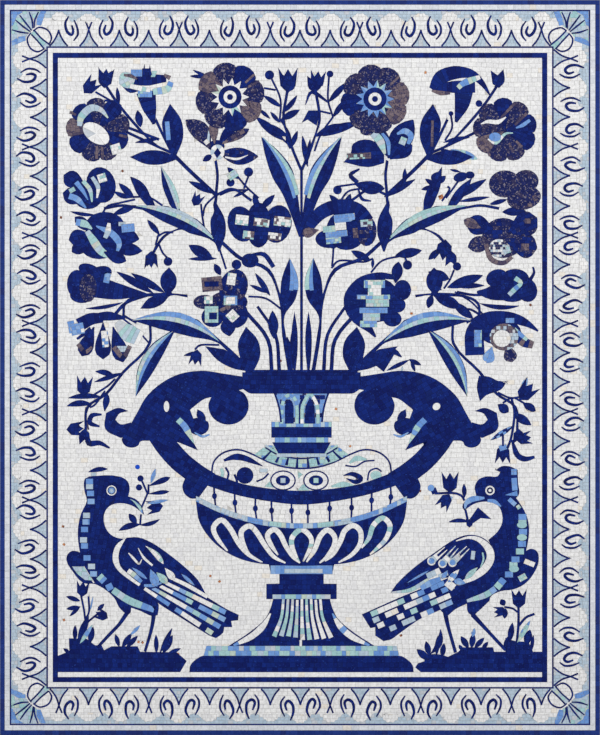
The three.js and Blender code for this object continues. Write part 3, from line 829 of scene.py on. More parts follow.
balusters = []
for x in (-175, -134, -92, -60, -20, 12, 56, 100, 141, 178):
    top, low = bowed(-264, 30, 186, x), bowed(-312, 48, 208, x)
    knob = (x + random.uniform(-1, 1), (top + low) / 2 + random.uniform(-3, 3))
    balusters += [disc(*on(1, [knob]), 4.6, COBALT, 6),
                  line(on(1, [(x, top + 4), knob, (x * 0.985 + 1, low - 3)]), 3, COBALT, 16)]
mosaic("urn_baluster_band", balusters + body("urn_baluster_band", WHITE, 9, 11))

# the bowl: tall loops of white, like gadroons, whose tails are drawn together at the foot
gadroons = []
for loop, stones in (
        (((-148, -367), (-169, -341), (-176, -320), (-160, -305), (-142, -323), (-125, -353), (-105, -375),
          (-78, -390)), WHITE),
        (((-97, -381), (-111, -365), (-120, -341), (-119, -326), (-104, -317), (-90, -329), (-75, -353),
          (-56, -378), (-32, -391)), WHITE),
        (((-47, -375), (-62, -353), (-68, -335), (-55, -324), (-42, -335), (-32, -356), (-17, -379),
          (-3, -391)), WHITE),
        (((-4, -390), (-17, -365), (-19, -341), (0, -324), (19, -341), (17, -362), (3, -388)),
         (WHITE, AQUA, WHITE)),
        (((10, -389), (26, -365), (37, -338), (52, -325), (66, -338), (65, -356), (51, -378), (36, -391)),
         WHITE),
        (((47, -387), (63, -374), (78, -347), (86, -327), (103, -316), (118, -328), (117, -353),
          (100, -375), (74, -390)), WHITE),
        (((120, -361), (135, -341), (143, -317), (162, -301), (177, -316), (170, -341), (155, -358),
          (137, -374)), (AQUA, PALE, WHITE))):
    gadroons.append(line(on(1, loop), [3, 9, 10.5, 10.5, 10.5, 9.5, 8, 3], stones, 10))
mosaic("urn_bowl", gadroons + body("urn_bowl", COBALT, 9))

# the shoulder: a white saddle with a dark edge, two rings in the middle and a scroll at each end
saddle = [(-180, -214), (-176, -190), (-162, -174), (-143, -166), (-122, -165), (-97, -174),
          (-66, -189), (-34, -199), (0, -202), (34, -199), (66, -189), (97, -174), (122, -165),
          (143, -166), (162, -174), (176, -190), (180, -214)]
shoulder = [line(on(1, saddle), 2.8, COBALT, 14)]
for x in (-37, 29):
    shoulder += [bar(x - 5, -231, x + 5, -221, (PALE, AQUA), 20),
                 disc(*on(1, [(x, -226)]), 14, COBALT, 10, 0, 4),
                 disc(*on(1, [(x, -226)]), 23, WHITE, 17.5, 0, 9),
                 disc(*on(1, [(x, -226)]), 25.5, COBALT, 20, 0, 12)]
shoulder += [
    line(on(1, [(-152, -200), (-146, -212), (-150, -230)]), 3.4, COBALT),
    line(on(1, [(-160, -202), (-158, -214), (-163, -224)]), 6, AQUA),
    line(on(1, [(-134, -214), (-129, -228), (-132, -240)]), 4, COBALT),
    disc(*on(1, [(-113, -216)]), 16.5, COBALT, None, 0, 6),
    disc(*on(1, [(-113, -216)]), 25, WHITE, None, 0, 12),
    line(on(1, [(-155, -186), (-134, -179), (-112, -182), (-78, -197)]), [4, 13, 10, 1], COBALT, 10),
    line(on(1, [(-90, -228), (-76, -222), (-66, -212)]), 3, COBALT),
    line(on(1, [(-84, -206), (-68, -206)]), 7, PALE),
    block(on(1, [(-74, -238), (-64, -228), (-56, -240)]), AQUA, 6, 7),
    line(on(1, [(84, -216), (102, -213), (118, -222), (108, -229), (90, -222)]), [1, 8, 11, 8, 1], COBALT, 9),
    line(on(1, [(96, -191), (110, -182), (130, -184)]), [3, 12, 3], AQUA, 9),
    line(on(1, [(88, -196), (108, -198), (126, -188), (146, -186)]), 2.6, COBALT),
    line(on(1, [(132, -226), (136, -208), (150, -202), (160, -208)]), 2.6, COBALT),
    disc(*on(1, [(149, -216)]), 11, AQUA, 9, 0, 5),
    line(on(1, [(60, -238), (84, -234), (104, -238)]), [3, 12, 6], AQUA, 9),
    block(on(1, [(-8, -206), (2, -214), (-6, -222)]), AQUA, 6, 7),
    block(on(1, [(-8, -246), (4, -232), (16, -246)]), AQUA, 6, 7),
]
mosaic("urn_shoulder", shoulder + body("urn_shoulder", WHITE, 8, 9))

# the stem and the foot: dark mouldings over a flared foot of white and aqua flutes
mosaic("urn_stem", [bar(-34, -411, 42, -403, PALE), bar(-62, -413, 62, -396, MID),
                    bar(-58, -463, 58, -454, (MID, PALE, AQUA))]
       + body("urn_stem", COBALT, 9.5))
flutes = []
for k in range(9):
    x = -36 + k * 9.2
    top = -463 + random.uniform(-2, 2)
    low = -540 + random.uniform(-5, 4)
    flutes.append(line(on(1, [(x, top), (x * 1.12, -500), (x * 1.55 + 1, low)]), [5, 6, 9.5],
                       (AQUA, PALE, WHITE) if k < 4 else (WHITE, WHITE, AQUA), 12))
for side in (-1, 1):
    flutes.append(line(on(side, [(62, -492), (76, -516), (100, -538), (136, -556)]), [3, 13, 12, 4],
                       (WHITE, WHITE, MID), 11))
flutes.append(bar(-4, -558, 1, -545, WHITE, 20))
mosaic("urn_foot", flutes + body("urn_foot", COBALT, 9))
mosaic("urn_plinth", body("urn_plinth", COBALT, 9.5))
mosaic("urn_base_strip", body("urn_base_strip", (AQUA, AQUA, MID, MID, PALE), 10, 10))

# ---------- The handles ----------
# Each handle is one sweep of cobalt with scrolled ends, the same on both sides. A white spot and a
# light blade are let into it.
SIDES = ((-1, "left"), (1, "right"))
for side, word in SIDES:
    spot = on(side, [(270, -78)])[0]
    mosaic(f"handle_{word}", [
        disc(spot, 5.5, WHITE, 11, 0, 1) if side < 0 else disc(spot, 8, WHITE, 7, 0.6, 1),
        line(on(side, [(247, -104), (232, -120), (215, -152)]), [12, 13, 1], (MID, AQUA), 10),
        line(on(side, [(214, -130), (198, -138), (184, -134)]), [2, 5, 2], MID, 9)]
        + body(f"handle_{word}", COBALT, 9.5, 11, side * 0.5, 5, math.radians(62)))

# ---------- The blooms ----------
# Ten kinds of bloom, one of each on either side. Their petals are cut from cobalt, from a dark
# stone speckled with grey and from a brown-grey stone, with lights of white, aqua and mid blue.
SPECKLED = stone("speckled blue stone", (20, 28, 82), (30, 38, 94), (48, 46, 84), 0.2, (118, 112, 124), 0.11)
BROWN = stone("brown-grey stone", (100, 88, 100), (120, 106, 112), (76, 68, 92), 0.25, (58, 56, 92), 0.12)
DARK |= {SPECKLED, BROWN}


# Gives the function that moves points drawn round a bloom's middle to their place on one side.
def placed_round(middle, side):
    def here(*points):
        return on(side, [(middle[0] + x, middle[1] + y) for x, y in points])

    return here


# A lance shape with a round or a pointed end, with its tesserae laid along it.
def lance(foot, tip, width, stones, blunt=0.0, bow=0.0):
    foot, tip = Vector(foot), Vector(tip)
    along = tip - foot
    aside = Vector((-along.y, along.x)).normalized()
    left, right = [], []
    for k in range(9):
        t = k / 8
        spot = foot + along * t + aside * (4 * bow * t * (1 - t))
        swell = math.sin(math.pi * t ** (1 + blunt)) ** (0.8 - 0.3 * blunt) if 0 < t < 1 else 0
        half = width / 2 * max(swell, 0.06)
        left.append(tuple(spot + aside * half))
        right.append(tuple(spot - aside * half))
    return block(left + right[::-1], stones, 8, 9, math.atan2(along.y, along.x))


def patch(middle, across, up, stones, turn=0.0, row=7.0):
    corners = rectangle(-across / 2, -up / 2, across / 2, up / 2)
    return block(turned(corners, turn, middle), stones, row, row * 1.1, turn)


# A ring of petals that meet in the middle, each of its own stone and laid along its own axis.
def petals(middle, radius, stones, notch, turn):
    half = math.pi / len(stones)
    areas = []
    for k, paint in enumerate(stones):
        a = turn + 2 * math.pi * k / len(stones)
        ends = ((-1, 1 - notch), (-0.86, 0.96), (-0.45, 1.02), (0, 1.04),
                (0.45, 1.02), (0.86, 0.96), (1, 1 - notch))
        outline = [(middle[0] + radius * r * math.cos(a + half * s),
                    middle[1] + radius * r * math.sin(a + half * s)) for s, r in ends]
        areas.append(block(outline + [middle], paint, 8, 9, a))
    return areas


def star(middle, inner, outer, points, stones):
    corners = []
    for k in range(2 * points):
        a = math.pi * k / points
        r = inner if k % 2 else outer
        corners.append((middle[0] + r * math.cos(a), middle[1] + r * math.sin(a)))
    return corners, stones, slices(middle, outer * 1.3, points)


# the rosettes: an eye in a ring, a star of light points and eight petals
rosettes = (
    ((WHITE, WHITE, AQUA), [SPECKLED, COBALT, SPECKLED, BROWN, SPECKLED, SPECKLED, COBALT, BROWN]),
    ((MID, AQUA, MID), [BROWN, SPECKLED, SPECKLED, SPECKLED, COBALT, SPECKLED, SPECKLED, BROWN]),
)
for (side, word), (points, petal_stones) in zip(SIDES, rosettes):
    eye = on(side, [(143, 541) if side < 0 else (147, 537)])[0]
    mosaic(f"rosette_{word}", [
        disc(eye, 5.6, COBALT), disc(eye, 13, WHITE, None, 0, 6), disc(eye, 23, COBALT, None, 0, 10),
        star(eye, 25, 39, 13, points)]
        + [line([(eye[0] + r * math.cos(a), eye[1] + r * math.sin(a)) for r in (42, 66)], 4.5, BROWN, 8)
           for a in (0.5, 0.75, 5.9)]
        + petals(eye, 67, petal_stones, 0.1, 0.2))

# the open blossoms: a light oval in a ring of dark petals, seen a little from the side
open_rings = (
    [SPECKLED, COBALT, SPECKLED, COBALT, BROWN, COBALT, SPECKLED, SPECKLED, COBALT],
    [COBALT, SPECKLED, COBALT, SPECKLED, SPECKLED, BROWN, SPECKLED, SPECKLED, COBALT],
)
for (side, word), petal_stones in zip(SIDES, open_rings):
    here = placed_round((407, 475), side)
    if side < 0:
        lights = [disc(*here((4, -7)), 30, (WHITE, WHITE, WHITE, PALE), 18, -0.62, 7),
                  line(here((37, 8), (33, 27), (14, 44), (-6, 40), (-20, 24)),
                       [9, 15, 15, 10, 3], (AQUA, PALE, PALE), 9),
                  patch(*here((-36, -38)), 20, 20, (AQUA, WHITE, WHITE), 0.3, 6.5)]
        stripes = [((44, 14), (60, 12)), ((42, -8), (60, -9)), ((2, -32), (3, -58)), ((-42, -10), (-58, -14)),
                   ((44, 30), (56, 36)), ((-8, -34), (-9, -58))]
    else:
        lights = [disc(*here((-20, -14)), 12, MID, 9, 0, 3),
                  line(here((-48, 12), (-34, 17), (-14, 16), (2, 26)), [2, 8, 9, 2], WHITE, 8),
                  line(here((-34, -18), (-18, -26), (0, -8), (16, -6)), [3, 7, 6, 2],
                       (WHITE, AQUA), 8),
                  line(here((22, 4), (36, 10), (50, 20)), [3, 8, 6], MID, 9)]
        stripes = [((-8, 24), (20, 54)), ((20, 10), (44, 34)), ((8, -26), (16, -44)),
                   ((-30, -52), (-38, -34)), ((22, -22), (34, -34))]
    mosaic(f"open_blossom_{word}", lights
           + [line(here(*stripe), [4.5, 6], BROWN, 8) for stripe in stripes]
           + petals(*here((0, 0)), 62, petal_stones, 0.12, 0.25))

# the lilies: a wide mouth on a dark funnel, with light lips
for side, word in SIDES:
    here = placed_round((311, 571), side)
    if side < 0:
        areas = [
            line(here((3, 36), (5, 14)), [0, 5.5], COBALT, 9),
            line(here((-7, 34), (-9, 14)), [0, 5.5], COBALT, 9),
            patch(*here((-1, 16)), 17, 22, COBALT),
            block(here((-10, 10), (-12, 22), (-22, 22), (-18, 10)), AQUA, 7, 8),
            line(here((32, -8), (10, -13), (-8, -17)), [9, 10, 7], (WHITE, AQUA, WHITE), 9),
            patch(*here((2, -24)), 28, 13, (MID, MID, AQUA)),
            line(here((44, 14), (30, 12), (18, 6)), [4, 7, 3], BROWN, 8),
            patch(*here((19, 18)), 22, 14, MID),
            lance(*here((20, 14), (53, -4)), 34, (AQUA, AQUA, PALE), 0.3),
            line(here((-36, 14), (-48, 8)), [5, 9], BROWN, 8),
            line(here((-50, 0), (-42, -14), (-14, -20)), [10, 15, 12], (MID, MID, AQUA), 9),
            line(here((46, -4), (30, -14), (14, -12)), [8, 16, 10], COBALT, 9),
            line(here((34, 2), (4, 4), (-40, 7)), [14, 24, 13], COBALT, 9),
        ]
    else:
        areas = [
            line(here((2, -12), (14, -2), (46, 10)), [9, 14, 8], (WHITE, AQUA, MID), 9),
            line(here((-50, -17), (-32, -22), (-14, -22)), [4, 9, 5], BROWN, 9),
            line(here((-50, -14), (-34, 8), (-4, 19), (28, 16), (50, -2), (66, -26)),
                 [12, 28, 26, 18, 11, 2], COBALT, 9),
            line(here((-48, -10), (-10, -10), (36, -9)), [10, 24, 24], COBALT, 9),
        ]
    funnel = [(0, -20), (-6, -48), (-16, -84)] if side < 0 else [(14, -14), (10, -44), (-2, -80)]
    mosaic(f"lily_{word}", areas + [line(here(*funnel), [38, 28, 5], COBALT, 10)])

# the irises: pointed standards over a ring, with a leaf-like fall
for side, word in SIDES:
    here = placed_round((173, 455), side)
    if side < 0:
        areas = [
            patch(*here((17, -4)), 9, 9, WHITE, 0.7),
            block(here((-5, -16), (2, -26), (-4, -36), (-12, -26)), COBALT, 9, 20),
            disc(*here((-5, -24)), 14, (WHITE, WHITE, PALE), 15, 0, 7),
            lance(*here((1, -8), (4, 38)), 19, BROWN, 0.6),
            line(here((14, -6), (12, 16), (8, 32)), [6, 4, 0], PALE, 9),
            lance(*here((-14, -8), (-68, 22)), 17, (BROWN, BROWN, SPECKLED), 0.5),
            lance(*here((-8, -6), (-40, 30)), 21, COBALT, 0.3),
            lance(*here((10, -18), (58, 40)), 36, SPECKLED, 0.2, -8),
            line(here((-20, -34), (-44, -38), (-66, -30)), [3, 5, 1], WHITE, 12),
            lance(*here((-10, -26), (-86, -33)), 34, (COBALT, COBALT, SPECKLED), 0, -3),
            disc(*here((-3, -12)), 16, COBALT, 12),
            lance(*here((6, -30), (24, -42)), 12, COBALT),
        ]
    else:
        areas = [
            line(here((-30, 14), (-16, -2), (-6, -28)), [15, 17, 5], (AQUA, AQUA, PALE), 9),
            line(here((-12, 14), (0, -4), (2, -30)), [5, 9, 4], MID, 9),
            patch(*here((30, -2)), 13, 15, (PALE, AQUA), -0.4),
            line(here((18, 12), (34, 18), (46, 8), (40, -8)), [4, 12, 12, 6], MID, 9),
            lance(*here((-26, 12), (-56, 24)), 20, SPECKLED, 0.5),
            patch(*here((-58, -32)), 48, 12, (BROWN, AQUA, BROWN), 0.05, 6),
            lance(*here((-2, -32), (-20, 26)), 30, COBALT, 0.2),
            lance(*here((0, -36), (50, 40)), 46, COBALT, 0.1),
            lance(*here((4, -38), (48, -10)), 30, COBALT, 0.5),
            block(rounded(here((-10, -20), (-36, 0), (-70, -8), (-74, -26), (-88, -44), (-40, -54),
                               (-8, -46)),
                          3, math.radians(75)), COBALT, 8),
        ]
    mosaic(f"iris_{word}", areas)

# the round blooms: three lobes, striped on the left and speckled on the right
for side, word in SIDES:
    here = placed_round((423, 359), side)
    if side < 0:
        areas = [
            patch(*here((-24, 20)), 17, 17, (AQUA, WHITE, WHITE), 0.3, 6),
            line(here((-4, 22), (-16, 2), (-14, -20)), [7, 9, 3], (WHITE, PALE), 9),
            line(here((14, 14), (0, -4), (-4, -28)), [8, 9, 3], (PALE, AQUA), 9),
            line(here((28, 12), (14, -6), (4, -24)), [10, 8, 2], MID, 9),
            line(here((42, -16), (26, -22), (8, -40)), [12, 12, 3], MID, 9),
            patch(*here((36, -4)), 12, 9, AQUA, 0.5),
            lance(*here((8, 2), (52, 26)), 34, COBALT, 0.7),
            lance(*here((4, -26), (54, -10)), 34, COBALT, 0.6),
            block(oval(*here((-22, 6)), 29, 36, 0.25), COBALT, 8, 9, 1.2),
            block(oval(*here((4, -14)), 30, 28), COBALT, 8),
        ]
    else:
        areas = [
            patch(*here((44, -20)), 8, 12, BROWN, 0.4), patch(*here((34, -34)), 9, 7, BROWN),
            block(oval(*here((-16, 8)), 32, 27), SPECKLED, 8, 9, 0.4),
            block(oval(*here((26, 14)), 25, 22), SPECKLED, 8, 9, 0.1),
            block(oval(*here((22, -20)), 34, 23, side * 0.2), SPECKLED, 8, 9, 2.6),
        ]
    mosaic(f"round_bloom_{word}", areas)

# the peonies: a broad ruffled head in patches of light
for side, word in SIDES:
    here = placed_round((403, 265), side)
    if side < 0:
        areas = [
            lance(*here((-8, -34), (-52, -52)), 24, COBALT, 0.3),
            line(here((26, 8), (14, -10), (-4, -34), (-34, -48)), [10, 17, 15, 2], (AQUA, PALE, AQUA), 9),
            line(here((-18, 24), (-16, 8), (-10, -6)), [6, 12, 8], (WHITE, PALE), 8),
            line(here((8, 18), (-22, 4), (-38, -16), (-34, -34)), [3, 13, 14, 5], MID, 9),
            patch(*here((-56, 14)), 26, 16, MID, 0.1), patch(*here((-44, 22)), 14, 8, PALE),
            line(here((48, 26), (30, 22), (16, 12)), [13, 15, 3], (AQUA, MID, AQUA), 9),
            lance(*here((14, 6), (50, 36)), 22, COBALT, 0.4),
            lance(*here((18, 0), (62, -10)), 34, COBALT, 0.4),
            lance(*here((20, -12), (56, -34)), 26, COBALT, 0.4),
            lance(*here((-20, 6), (-78, -8)), 34, COBALT, 0.1),
            lance(*here((-24, -24), (-84, -32)), 26, COBALT, 0.1),
            block(oval(*here((-10, 20)), 38, 26), COBALT, 8), block(oval(*here((2, -16)), 40, 32), COBALT, 8),
        ]
    else:
        areas = [
            patch(*here((10, -28)), 9, 16, (AQUA, PALE), 0.3, 5),
            block(oval(*here((-8, -26)), 20, 18), (WHITE, SPECKLED, PALE, SPECKLED), 5, 5),
            line(here((-34, -18), (-24, -48), (0, -56), (18, -44)), [9, 10, 9, 7], BROWN, 8),
            patch(*here((44, -24)), 16, 14, BROWN), patch(*here((50, 28)), 12, 10, BROWN),
            lance(*here((-44, 14), (-78, 30)), 20, BROWN, 0.5),
            lance(*here((-20, 12), (-74, 26)), 40, COBALT, 0.3),
            lance(*here((-16, -10), (-70, -24)), 32, SPECKLED, 0.4),
            lance(*here((10, 4), (68, 34)), 50, (COBALT, COBALT, SPECKLED), 0.6),
            lance(*here((10, -16), (68, -26)), 48, (COBALT, SPECKLED), 0.6),
            block(oval(*here((0, -6)), 42, 40), (SPECKLED, SPECKLED, COBALT), 8),
        ]
    mosaic(f"peony_{word}", areas)

# the chequered blooms: a dark fruit-like head with square lights
for side, word in SIDES:
    here = placed_round((84, 287), side)
    if side < 0:
        squares = [((35, 8), 26, 20, (WHITE, WHITE, AQUA)), ((-4, 3), 31, 16, (AQUA, BROWN, WHITE)),
                   ((-46, 5), 34, 19, (WHITE, AQUA, WHITE, BROWN)), ((22, -22), 22, 16, (WHITE, AQUA, BROWN)),
                   ((-30, -25), 26, 16, (BROWN, WHITE, BROWN))]
        areas = [patch(*here(middle), across, up, stones, -0.12, 6.2)
                 for middle, across, up, stones in squares]
        areas += [block(oval(*here((36, 0)), 27, 36, 0.3), COBALT, 8, 9, 1.4),
                  block(oval(*here((2, -2)), 25, 45), COBALT, 8),
                  block(oval(*here((-36, 0)), 28, 38, -0.2), COBALT, 8, 9, 1.7),
                  lance(*here((-2, 30), (-30, 58)), 13, COBALT), lance(*here((2, 30), (12, 58)), 12, COBALT)]
    else:
        squares = [((2, 12), 42, 16, MID), ((-6, -2), 22, 20, WHITE), ((-28, -10), 26, 12, AQUA),
                   ((-14, -20), 44, 12, MID), ((-20, -32), 30, 14, (AQUA, MID)),
                   ((46, 2), 24, 14, (PALE, BROWN, AQUA)),
                   ((24, -18), 10, 20, BROWN)]
        areas = [patch(*here(middle), across, up, stones, 0.1, 6.2) for middle, across, up, stones in squares]
        areas += [lance(*here((-50, -12), (-82, -20)), 20, BROWN, 0.7),
                  line(here((-74, -14), (-46, 22), (-6, 36), (30, 28), (50, 6)),
                       [16, 26, 28, 26, 22], COBALT, 9),
                  lance(*here((-4, 34), (-28, 58)), 12, COBALT), lance(*here((4, 34), (14, 60)), 12, COBALT),
                  block(oval(*here((46, -14)), 20, 30), (COBALT, SPECKLED), 8),
                  block(oval(*here((6, -12)), 40, 40), COBALT, 8),
                  block(oval(*here((-30, -30)), 26, 18), COBALT, 8)]
    mosaic(f"chequered_bloom_{word}", areas)

# the trumpets: three soft lobes on a long taper
for side, word in SIDES:
    here = placed_round((413, 165), side)
    taper = [(0, -2), (-40, -12), (-104, -19)] if side < 0 else [(0, -8), (-36, -16), (-62, -14)]
    if side < 0:
        areas = [patch(*here((-24, 14)), 12, 20, MID, -0.2),
                 block(oval(*here((14, -6)), 17, 28), SPECKLED, 7)]
        lobes = [((10, 28), 24, 13, 0.4), ((36, 2), 20, 28, 0), ((26, -20), 24, 16, 0),
                 ((-10, 22), 24, 15, -0.3)]
    else:
        areas = [line(here((14, 14), (26, 4), (14, -8), (2, -20)), [10, 8, 10, 9],
                      (AQUA, PALE, AQUA, MID), 8),
                 line(here((44, 10), (52, 24), (50, 36)), [7, 5, 3], COBALT, 9)]
        lobes = [((-22, 14), 22, 17, 0.3), ((14, 12), 28, 20, 0), ((38, -10), 20, 24, 0.3),
                 ((8, -14), 30, 20, 0)]
    areas += [block(oval(*here(spot), across, up, side * turn), COBALT, 8, 9, turn)
              for spot, across, up, turn in lobes]
    mosaic(f"trumpet_{word}", areas + [line(here(*taper), [46, 30, 4], COBALT, 10)])

# the cornflowers: a ruffled head of dark scallops with stepped lights
for side, word in SIDES:
    here = placed_round((160, 135), side)
    if side < 0:
        areas = [
            patch(*here((-20, 42)), 17, 24, (WHITE, AQUA, WHITE), -0.15, 6.5),
            patch(*here((-18, -1)), 18, 14, WHITE),
            patch(*here((-18, -1)), 27, 19, (MID, AQUA)),
            patch(*here((-22, -32)), 20, 20, (WHITE, WHITE, AQUA), 0.75, 6.5),
            patch(*here((26, 0)), 17, 15, (WHITE, AQUA)), patch(*here((17, -32)), 15, 13, COBALT),
            patch(*here((20, -29)), 27, 33, AQUA),
            patch(*here((20, 32)), 28, 10, COBALT), patch(*here((19, 32)), 40, 28, BROWN, 0.1, 6.5),
            patch(*here((-8, -16)), 20, 7, BROWN, 0.4),
            lance(*here((2, 50), (14, 72)), 13, COBALT),
            block(oval(*here((-24, 26)), 28, 36, -0.3), (COBALT, COBALT, SPECKLED), 8, 9, 1.2),
            block(oval(*here((34, -4)), 22, 14), SPECKLED, 7),
            block(oval(*here((-14, -4)), 38, 22), (COBALT, SPECKLED), 8),
            block(oval(*here((-26, -28)), 27, 28, 0.5), COBALT, 8),
            lance(*here((-10, -36), (-16, -72)), 30, COBALT),
            block(oval(*here((18, -34)), 22, 20), COBALT, 8),
        ]
    else:
        areas = [
            patch(*here((-14, 24)), 26, 30, (WHITE, WHITE, AQUA), 0, 7),
            patch(*here((-14, 32)), 42, 16, (MID, AQUA)),
            patch(*here((-16, 6)), 66, 9, (MID, AQUA)), patch(*here((-8, -6)), 46, 15, (AQUA, PALE, AQUA)),
            patch(*here((-16, -21)), 56, 11, MID), patch(*here((-20, -34)), 34, 15, (AQUA, PALE)),
            patch(*here((-26, -48)), 34, 13, (MID, AQUA)),
            block(oval(*here((42, 20)), 17, 20), COBALT, 8), block(oval(*here((32, -10)), 16, 15), COBALT, 8),
            block(oval(*here((22, -38)), 18, 15), COBALT, 8),
            lance(*here((28, 34), (34, 76)), 22, COBALT, 0.2),
            line(here((24, 46), (-8, 48), (-42, 32), (-60, 0), (-52, -30), (-26, -56), (-12, -74)),
                 [10, 14, 24, 32, 28, 20, 3], COBALT, 9),
            block(oval(*here((-8, 0)), 44, 44), COBALT, 8),
        ]
    mosaic(f"cornflower_{word}", areas)

# the hanging blooms: fingers that spread downwards from a dark cap
for side, word in SIDES:
    here = placed_round((393, 55), side)
    if side < 0:
        areas = [
            patch(*here((0, 2)), 13, 33, (MID, WHITE, WHITE), 0.1, 6.5),
            patch(*here((55, 22)), 26, 22, (WHITE, MID, MID), 0.2, 7.5),
            patch(*here((67, 26)), 13, 24, MID, 0.2),
            line(here((54, -8), (40, -24), (26, -14)), [8, 9, 5], BROWN, 8),
            line(here((-18, -14), (-36, -34), (-50, -12)), [10, 9, 8], BROWN, 8),
            patch(*here((-34, -18)), 20, 12, PALE),
            line(here((-24, 36), (-44, 16), (-72, 2)), [12, 36, 28], (PALE, WHITE, AQUA), 9),
            line(here((-34, 44), (-62, 22), (-88, -6)), [3, 3, 3], COBALT, 12),
            line(here((4, 44), (28, 42), (52, 30)), [18, 24, 26], COBALT, 9),
            lance(*here((22, 26), (46, -32)), 30, COBALT, 0.9),
            lance(*here((4, 34), (4, -38)), 32, COBALT, 0.9),
            lance(*here((-16, 26), (-36, -44)), 32, COBALT, 0.9),
            line(here((28, 22), (56, 2)), [10, 4], COBALT, 9),
            line(here((20, 44), (-4, 48), (-40, 44)), [16, 18, 5], COBALT, 9),
        ]
    else:
        areas = [
            block(oval(*here((8, 3)), 18, 17), WHITE, 7, 7),
            block(oval(*here((12, 6)), 29, 27), (BROWN, BROWN, PALE), 7, 7),
            patch(*here((24, 39)), 17, 10, MID), patch(*here((-40, 3)), 15, 34, (MID, AQUA, MID), 0, 7),
            lance(*here((-12, -14), (-22, -46)), 24, MID, 0.8),
            lance(*here((18, -8), (28, -44)), 26, SPECKLED, 0.8),
            line(here((32, 22), (46, 10), (58, 0)), [8, 9, 6], (MID, AQUA), 9),
            line(here((34, 12), (52, -4), (70, -10)), [14, 20, 14], (COBALT, COBALT, BROWN), 9),
            line(here((-46, -30), (-46, 16), (-24, 42), (20, 46), (56, 34), (80, 18)),
                 [38, 38, 26, 22, 18, 3], COBALT, 9),
            block(oval(*here((4, 16)), 42, 26), COBALT, 8),
        ]
    mosaic(f"hanging_bloom_{word}", areas)

# ---------- The stems and leaves ----------
# Slender stems rise out of the urn and fork into leaves, all in cobalt set along the stem. The big
# leaves have one light half, set as two strips lengthwise in mid blue, aqua and pale stone.


# The half of a leaf on one hand (1 or -1) of its bowed midrib, from `start` of the way to its tip.
def half_leaf(side, foot, tip, width, bow, hand, inner, outer, start=0.12):
    foot, tip = Vector(foot), Vector(tip)
    along = tip - foot
    aside = Vector((-along.y, along.x)).normalized()
    heading = math.atan2(along.y, along.x)

    def strip(low, high, first, last, stones):
        edges = [], []
        for k in range(9):
            t = first + (last - first) * k / 8
            spot = foot + along * t + aside * (2 * bow * t * (1 - t))
            half = max(width / 2 * math.sin(math.pi * t), 2)
            for edge, share in zip(edges, (low, high)):
                edge.append(tuple(spot + aside * hand * half * share))
        return block(on(side, edges[0] + edges[1][::-1]), stones, 40, 10,
                     heading if side > 0 else math.pi - heading)

    return [strip(0.04, 0.48, start, 1, inner), strip(0.25, 1, start + 0.02, 0.98, outer)]


light_halves = []
for side in (-1, 1):
    on_left = side < 0
    light_halves += half_leaf(side, (6, 278), (80, 462), 34, 28, 1,
                              MID if on_left else (PALE, AQUA), AQUA if on_left else MID, 0.3)
    light_halves += half_leaf(side, (168, 250), (331, 323), 34, 22, 1,
                              (PALE, AQUA), PALE if on_left else AQUA, 0.06)
    light_halves += half_leaf(side, (162, 50), (338, 94), 42, 34, 1,
                              (PALE, AQUA), MID, 0.02)
    light_halves += half_leaf(side, (255, 74), (331, -57), 32, 22, 1,
                              MID if on_left else AQUA, (AQUA, PALE) if on_left else MID, 0.02)
    light_halves += half_leaf(side, (37, 104), (24, 218), 36, 12, 1,
                              MID, MID if on_left else AQUA, 0.45)
light_halves += half_leaf(-1, (242, 298), (281, 401), 24, 0, 1, PALE, AQUA, 0.15)
light_halves.append(line(on(-1, [(269, 492), (266, 455)]), 9, MID, 9))
light_halves.append(line(on(1, [(262, 494), (261, 442)]), 5, BROWN, 9))
mosaic("stems_and_leaves", light_halves
       + [block(rounded(loop, 4, math.radians(60)), COBALT, 8, 10, 1.2)
          for loop in outlines_of("stems_and_leaves") if area_of(loop) > 0])

# ---------- The birds ----------
# A bird stands on either side of the urn with its head turned in. Each is cobalt, with a chain of
# light squares down its nape and back, a banded wing and a chequered tail.


def shape(side, points, stones=COBALT, row=9.0, turn=0.0, corner=CORNER):
    return block(rounded(on(side, points), 3, corner), stones, row, 10, turn)


def chain(side, spots, across, stones, length=9.0):
    return [patch(*on(side, [spot]), across, length, stones[k % len(stones)], 0, 20)
            for k, spot in enumerate(spots)]


# the wings, with a white band in front and a tail of four chequered rows
def left(*points):
    return on(-1, points)


def right(*points):
    return on(1, points)


left_wing = [
    line(left((346, -371), (334, -384), (325, -393), (319, -383)), [2, 5, 4, 1], WHITE, 9),
    line(left((327, -361), (315, -381), (298, -396)), [1, 5, 4], WHITE, 9),
    lance(*left((312, -357), (276, -393)), 11, (AQUA, WHITE), 0.5, 3),
    lance(*left((240, -413), (214, -436)), 7, MID),
    lance(*left((339, -400), (309, -423)), 8, MID, 0.2),
    line(left((347, -406), (336, -414), (320, -429)), [9, 10, 7], (AQUA, WHITE, AQUA, MID), 9),
    lance(*left((302, -404), (289, -438)), 18, MID, 0.4),
    line(left((315, -436), (298, -436), (280, -431)), [5, 7, 3], MID, 9),
    lance(*left((290, -410), (268, -432)), 15, AQUA, 0.3),
    lance(*left((273, -401), (254, -425)), 14, WHITE, 0.5),
    line(left((256, -423), (230, -435), (188, -459)), [7, 8, 7], WHITE, 14),
    shape(-1, [(350, -341), (327, -340), (301, -350), (268, -372), (233, -400), (207, -426),
               (190, -457), (230, -436), (259, -423), (298, -442), (324, -431), (345, -414),
               (362, -397), (365, -376), (359, -356)], COBALT, 9, -0.6),
    line(left((352, -345), (367, -359), (372, -382), (364, -401), (343, -420), (323, -434)),
         [7, 11, 12, 11, 9, 8], WHITE, 11),
]
